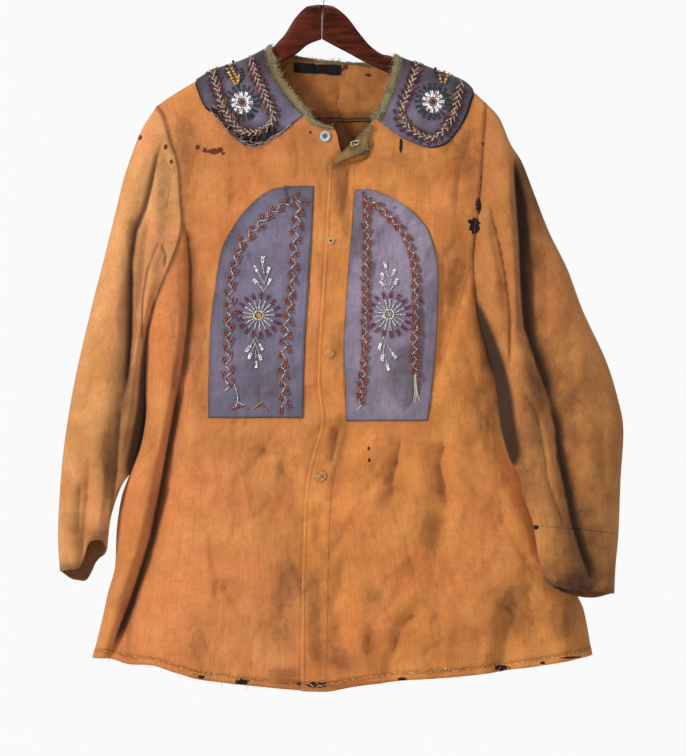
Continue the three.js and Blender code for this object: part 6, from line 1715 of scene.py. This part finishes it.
def running(path, length, gap, colours, draw, wander=0.0, thick=STITCH_RADIUS):
    """A row of stitches along a path of points, with the given length, gap and radius."""
    path = np.asarray(path, float)
    run = np.concatenate([[0], np.cumsum(np.linalg.norm(np.diff(path, axis=0), axis=1))])
    places = np.arange(length, run[-1] - length, length + gap)
    place = np.stack([np.interp(places, run, path[:, k]) for k in (0, 1)], axis=1)
    ahead = np.stack([np.interp(places + 1, run, path[:, k]) for k in (0, 1)], axis=1)
    way = ahead - place
    way = way / np.maximum(np.linalg.norm(way, axis=1, keepdims=True), 1e-6) + draw.normal(0, wander * 0.25, place.shape)
    way /= np.linalg.norm(way, axis=1, keepdims=True)
    place = place + draw.normal(0, wander, place.shape)
    count = len(place)
    return np.column_stack([place, way, length * draw.uniform(0.8, 1.1, count), np.full(count, thick),
                            tints(draw, count, *colours)])


draw = np.random.default_rng(91)
z = np.linspace(-296, -1018, 200)
lap = through(OVERLAP_EDGE, z)
rows = [running(np.stack([lap + 4.5, z], axis=1), 2.4, 1.2, ["8c5529", "9d6434"], draw, 0.08, 0.36),
        running(np.stack([lap + 36, z], axis=1), 2.4, 1.2, ["8f5a2c", "a46c3a"], draw, 0.08, 0.32)]
x = np.linspace(-24, 376, 200)
hem = np.stack([x, hem_z(x) + 10], axis=1)
rows.append(running(hem, 3.8, 1.2, ["f0a850", "e89844", "d98236"], draw, 0.9, 0.5))
rows.append(running(hem, 4.6, 2.6, ["f2cf98", "eeb066"], draw, 1.5, 0.5))
edge_z = np.linspace(-215, -480, 90)
rows.append(running(np.stack([through(ARMHOLE_LEFT, edge_z) - 2.2, edge_z], axis=1), 2.4, 2.4, ["c0702e", "d4873c"],
                    draw, 0.2))
edge = patch_edges["left"]
inward = np.stack([np.where(edge[:, 0] > 80, -1.0, 1.0) * 3.2, -1.0 * (edge[:, 1] > -340)], axis=1)
rows.append(running(edge + inward, 2.0, 1.6, ["6d5f68", "7c6c70"], draw, 0.1))
over = lambda radius_x, radius_z, centre, count: np.stack(
    [centre[0] + radius_x * np.cos(np.linspace(0, 2 * np.pi, count)),
     centre[1] + radius_z * np.sin(np.linspace(0, 2 * np.pi, count))], axis=1)
rows.append(running(over(4.9, 4.9, (14, -405), 60), 2.0, 0.2, ["eedcb8", "dcc294"], draw, 0.3, 0.6))
barrels("stitches_front_left", at_left_front, np.concatenate(rows), 0.02, thread)
eyelet = over(7.5, 2.6, (0, 0), 60) @ np.array([[0.94, 0.34], [-0.34, 0.94]]) + [47, -268]
rows = [running(eyelet, 2.2, 0.3, ["f0e4cc", "e0d0b0"], draw, 0.5, 0.7),
        running(eyelet * 0.7 + np.array([47, -268]) * 0.3, 2.4, 1.6, ["f2e8d4", "d8c6a2"], draw, 0.7, 0.6)]
barrels("buttonhole_stitches", at_left_front, np.concatenate(rows), 3.5, thread)
edge = patch_edges["right"]
inward = np.stack([np.where(edge[:, 0] < -80, 1.0, -1.0) * 3.2, -1.0 * (edge[:, 1] > -340)], axis=1)
x = np.linspace(-318, -34, 160)
hem = np.stack([x, hem_z(x) + 10], axis=1)
edge_z = np.linspace(-218, -480, 90)
rows = [running(hem, 3.8, 1.2, ["f0a850", "e89844", "d98236"], draw, 0.9, 0.5),
        running(hem[:120], 3.6, 0.8, ["f4b468", "f0a24c"], draw, 2.0, 0.5),
        running(np.stack([through(ARMHOLE_RIGHT, edge_z) + 2.2, edge_z], axis=1), 2.4, 2.8, ["8a4a24", "a05c2e"],
                draw, 0.15)]
barrels("stitches_front_right", at_right_front, np.concatenate(rows), 0.02, thread)
barrels("stitches_patch_right", at_right_front,
        running(patch_edges["right"] + inward, 2.0, 1.6, ["6d5f68", "7c6c70"], draw, 0.1), 2.1, thread)
x = np.linspace(-316, 376, 320)
barrels("stitches_back", at_back, running(np.stack([x, hem_z(x) + 10], axis=1), 3.4, 1.8, ["e0a052", "c97a36"],
                                          draw, 0.7), 0.02, thread)

# Threads that hang loose: cream ends below the left vine, on the collar's torn edge, at the buttonhole
# and along the hem.
number = 9
start = at_left_front(draw.uniform(129, 132, number), draw.uniform(-596, -586, number), 2.4)[0]
way = np.stack([draw.normal(0.03, 0.02, number), np.full(number, -0.03), -np.ones(number)], axis=1)
bend = np.concatenate([draw.normal(0, 0.03, number - 3), [0.26, -0.12, 0.1]])
fringe("loose_bead_threads", start, way, np.concatenate([draw.uniform(38, 54, number - 3), [70, 64, 62]]),
       np.stack([bend, np.zeros(number), np.zeros(number)], axis=1), 0.5,
       tints(draw, number, "f2eadc", "e0d4c0"), thread)
number = 130
share = draw.random(number)
x = np.where(share < 0.45, -318 + share / 0.45 * 284, -24 + (share - 0.45) / 0.55 * 396)
low = hem_z(x) + draw.choice([10.0, 2.0], number)
start = np.where((x < -28)[:, None], at_right_front(x, low, 0.2)[0], at_left_front(x, low, 0.2)[0])
way = np.stack([draw.normal(0, 1, number), np.full(number, -0.25), draw.normal(-0.3, 0.6, number)], axis=1)
fringe("hem_threads", start, way, draw.uniform(2, 6, number), draw.normal(0, 0.8, (number, 3)) * [1, 0.2, 1], 0.28,
       tints(draw, number, "e0a052", "e6c288", "b97a3a"), thread)
number = 160
pick = (draw.uniform(0, 3.9, number) * 22).astype(int)
start = np.array([[69, -243.5], [66, -252], [64, -262], [62, -274], [60, -281], [48, -286]])
start = at_left_front(*(np.interp(pick / 88 * 5, np.arange(6), start[:, k]) for k in (0, 1)), 3.2)[0]
way = np.stack([draw.normal(0.6, 0.6, number), draw.uniform(-0.6, 0, number), draw.normal(-0.1, 0.7, number)], axis=1)
fringe("corner_threads", start, way, draw.uniform(1.5, 6, number), draw.normal(0, 0.5, (number, 3)), 0.2,
       tints(draw, number, "8a7c50", "b3a478", "5e4f2e", "c9b88c"), thread)
# The torn collar's edge: a pale, wandering line of raw cloth.
x, height = trim_grid(COLLAR_RIGHT, 0, 2, CREST, 260, np.linspace(0, 1, 4)[None, :])
for place, wander in ((0.955, 1.0), (0.9, 1.6)):
    waver = place + 0.02 * np.interp(np.arange(110), np.arange(0, 112, 5), draw.normal(0, 1, 23))
    torn_edge = np.stack([x[:110, 0] + (x[:110, 3] - x[:110, 0]) * waver,
                          height[:110, 0] + (height[:110, 3] - height[:110, 0]) * waver], axis=1)
    barrels("torn_edge_%d" % (place * 100), at_right, running(torn_edge, 3.2, -0.6, ["a59cae", "8d8596", "b8ab98"], draw,
                                                              0.35, 0.5), 2.1, thread)
for name, rows, at in (("right", COLLAR_RIGHT, at_right), ("left", COLLAR_LEFT, at_left)):
    x, height = trim_grid(rows, 4, 0, CREST, 260, np.array([[0.0, 1.06]]))
    barrels("collar_stitches_" + name, at, running(np.stack([x[:, 1], height[:, 1]], axis=1), 2.6, 0.5,
                                                   ["8d8699", "756d80", "a39a8c"], draw, 0.12, 0.34),
            2.2, thread)
number = 170
along = draw.random(number) ** 1.3 * 0.36
x, height = trim_grid(COLLAR_RIGHT, 0, 2, CREST, 200, np.array([[0.96]]))
pick = (along * 199).astype(int)
start = at_right(x[pick, 0], height[pick, 0], 1.6)[0]
way = np.stack([draw.normal(-0.3, 0.8, number), np.full(number, -0.3), draw.normal(-0.9, 0.5, number)], axis=1)
fringe("collar_threads", start, way, draw.uniform(2, 7, number), draw.normal(0, 0.5, (number, 3)), 0.15,
       tints(draw, number, "8d8399", "c9bfae", "5c5264", "8a5a34"), thread)

# ---- Studio ----------------------------------------------------------------------------------
# A pale floor, a white surround, and soft lamps; the camera stands level with the middle.

floor_mesh = bpy.data.meshes.new("studio_floor")
turn = np.linspace(0, 2 * np.pi, 96, endpoint=False)
ring = np.stack([5 * np.cos(turn), 5 * np.sin(turn), np.full(96, -1.9)], axis=1)
floor_mesh.from_pydata(ring.tolist(), [], [list(range(96))])
floor = bpy.data.objects.new("studio_floor", floor_mesh)
scene.collection.objects.link(floor)
paint, tree, shader = new_material("studio_paint")
shader.inputs["Base Color"].default_value = (0.9, 0.9, 0.9, 1)
shader.inputs["Roughness"].default_value = 0.9
floor_mesh.materials.append(paint)

world = bpy.data.worlds.new("white_surround")
world.use_nodes = True
scene.world = world
tree = world.node_tree
lit = wire(tree, "ShaderNodeBackground", Color=(0.93, 0.96, 1.0, 1), Strength=0.34)
seen = wire(tree, "ShaderNodeBackground", Color=(0.955, 0.955, 0.955, 1), Strength=1.0)
chosen = wire(tree, "ShaderNodeMixShader", n0=wire(tree, "ShaderNodeLightPath").outputs["Is Camera Ray"],
              n1=lit.outputs[0], n2=seen.outputs[0])
tree.links.new(chosen.outputs[0], tree.nodes["World Output"].inputs[0])

# Lamps: name, place, the point that it faces, size, watts, colour.
for label, spot_place, target, size, power, colour in (
        ("key", (-2.6, -2.3, 0.7), (0, 0, -0.6), 0.9, 110, (1.0, 0.97, 0.93)),
        ("fill", (2.4, -2.6, -0.2), (0, 0, -0.6), 1.8, 17, (0.93, 0.96, 1.0)),
        ("top", (0.2, -0.6, 1.6), (0, 0, -0.5), 1.2, 16, (1.0, 1.0, 1.0)),
        ("behind", (0.4, 3.0, 0.4), (0, 0, -0.6), 2.0, 34, (1.0, 1.0, 1.0))):
    lamp = bpy.data.lights.new(label, "AREA")
    lamp.shape, lamp.size, lamp.energy, lamp.color = "DISK", size, power, colour
    stand = bpy.data.objects.new(label, lamp)
    stand.location = spot_place
    aim = np.array(target) - np.array(spot_place)
    stand.rotation_euler = Vector(aim).to_track_quat("-Z", "Y").to_euler()
    scene.collection.objects.link(stand)

camera_data = bpy.data.cameras.new("camera")
camera_data.sensor_width = 36
camera_data.lens = 36 * 4.47 / 1.0584
camera = bpy.data.objects.new("camera", camera_data)
camera.location = (0.0308, -4.5, -0.5964)
camera.rotation_euler = (np.pi / 2, 0, 0)
scene.collection.objects.link(camera)
scene.camera = camera
scene.view_settings.view_transform = "Standard"
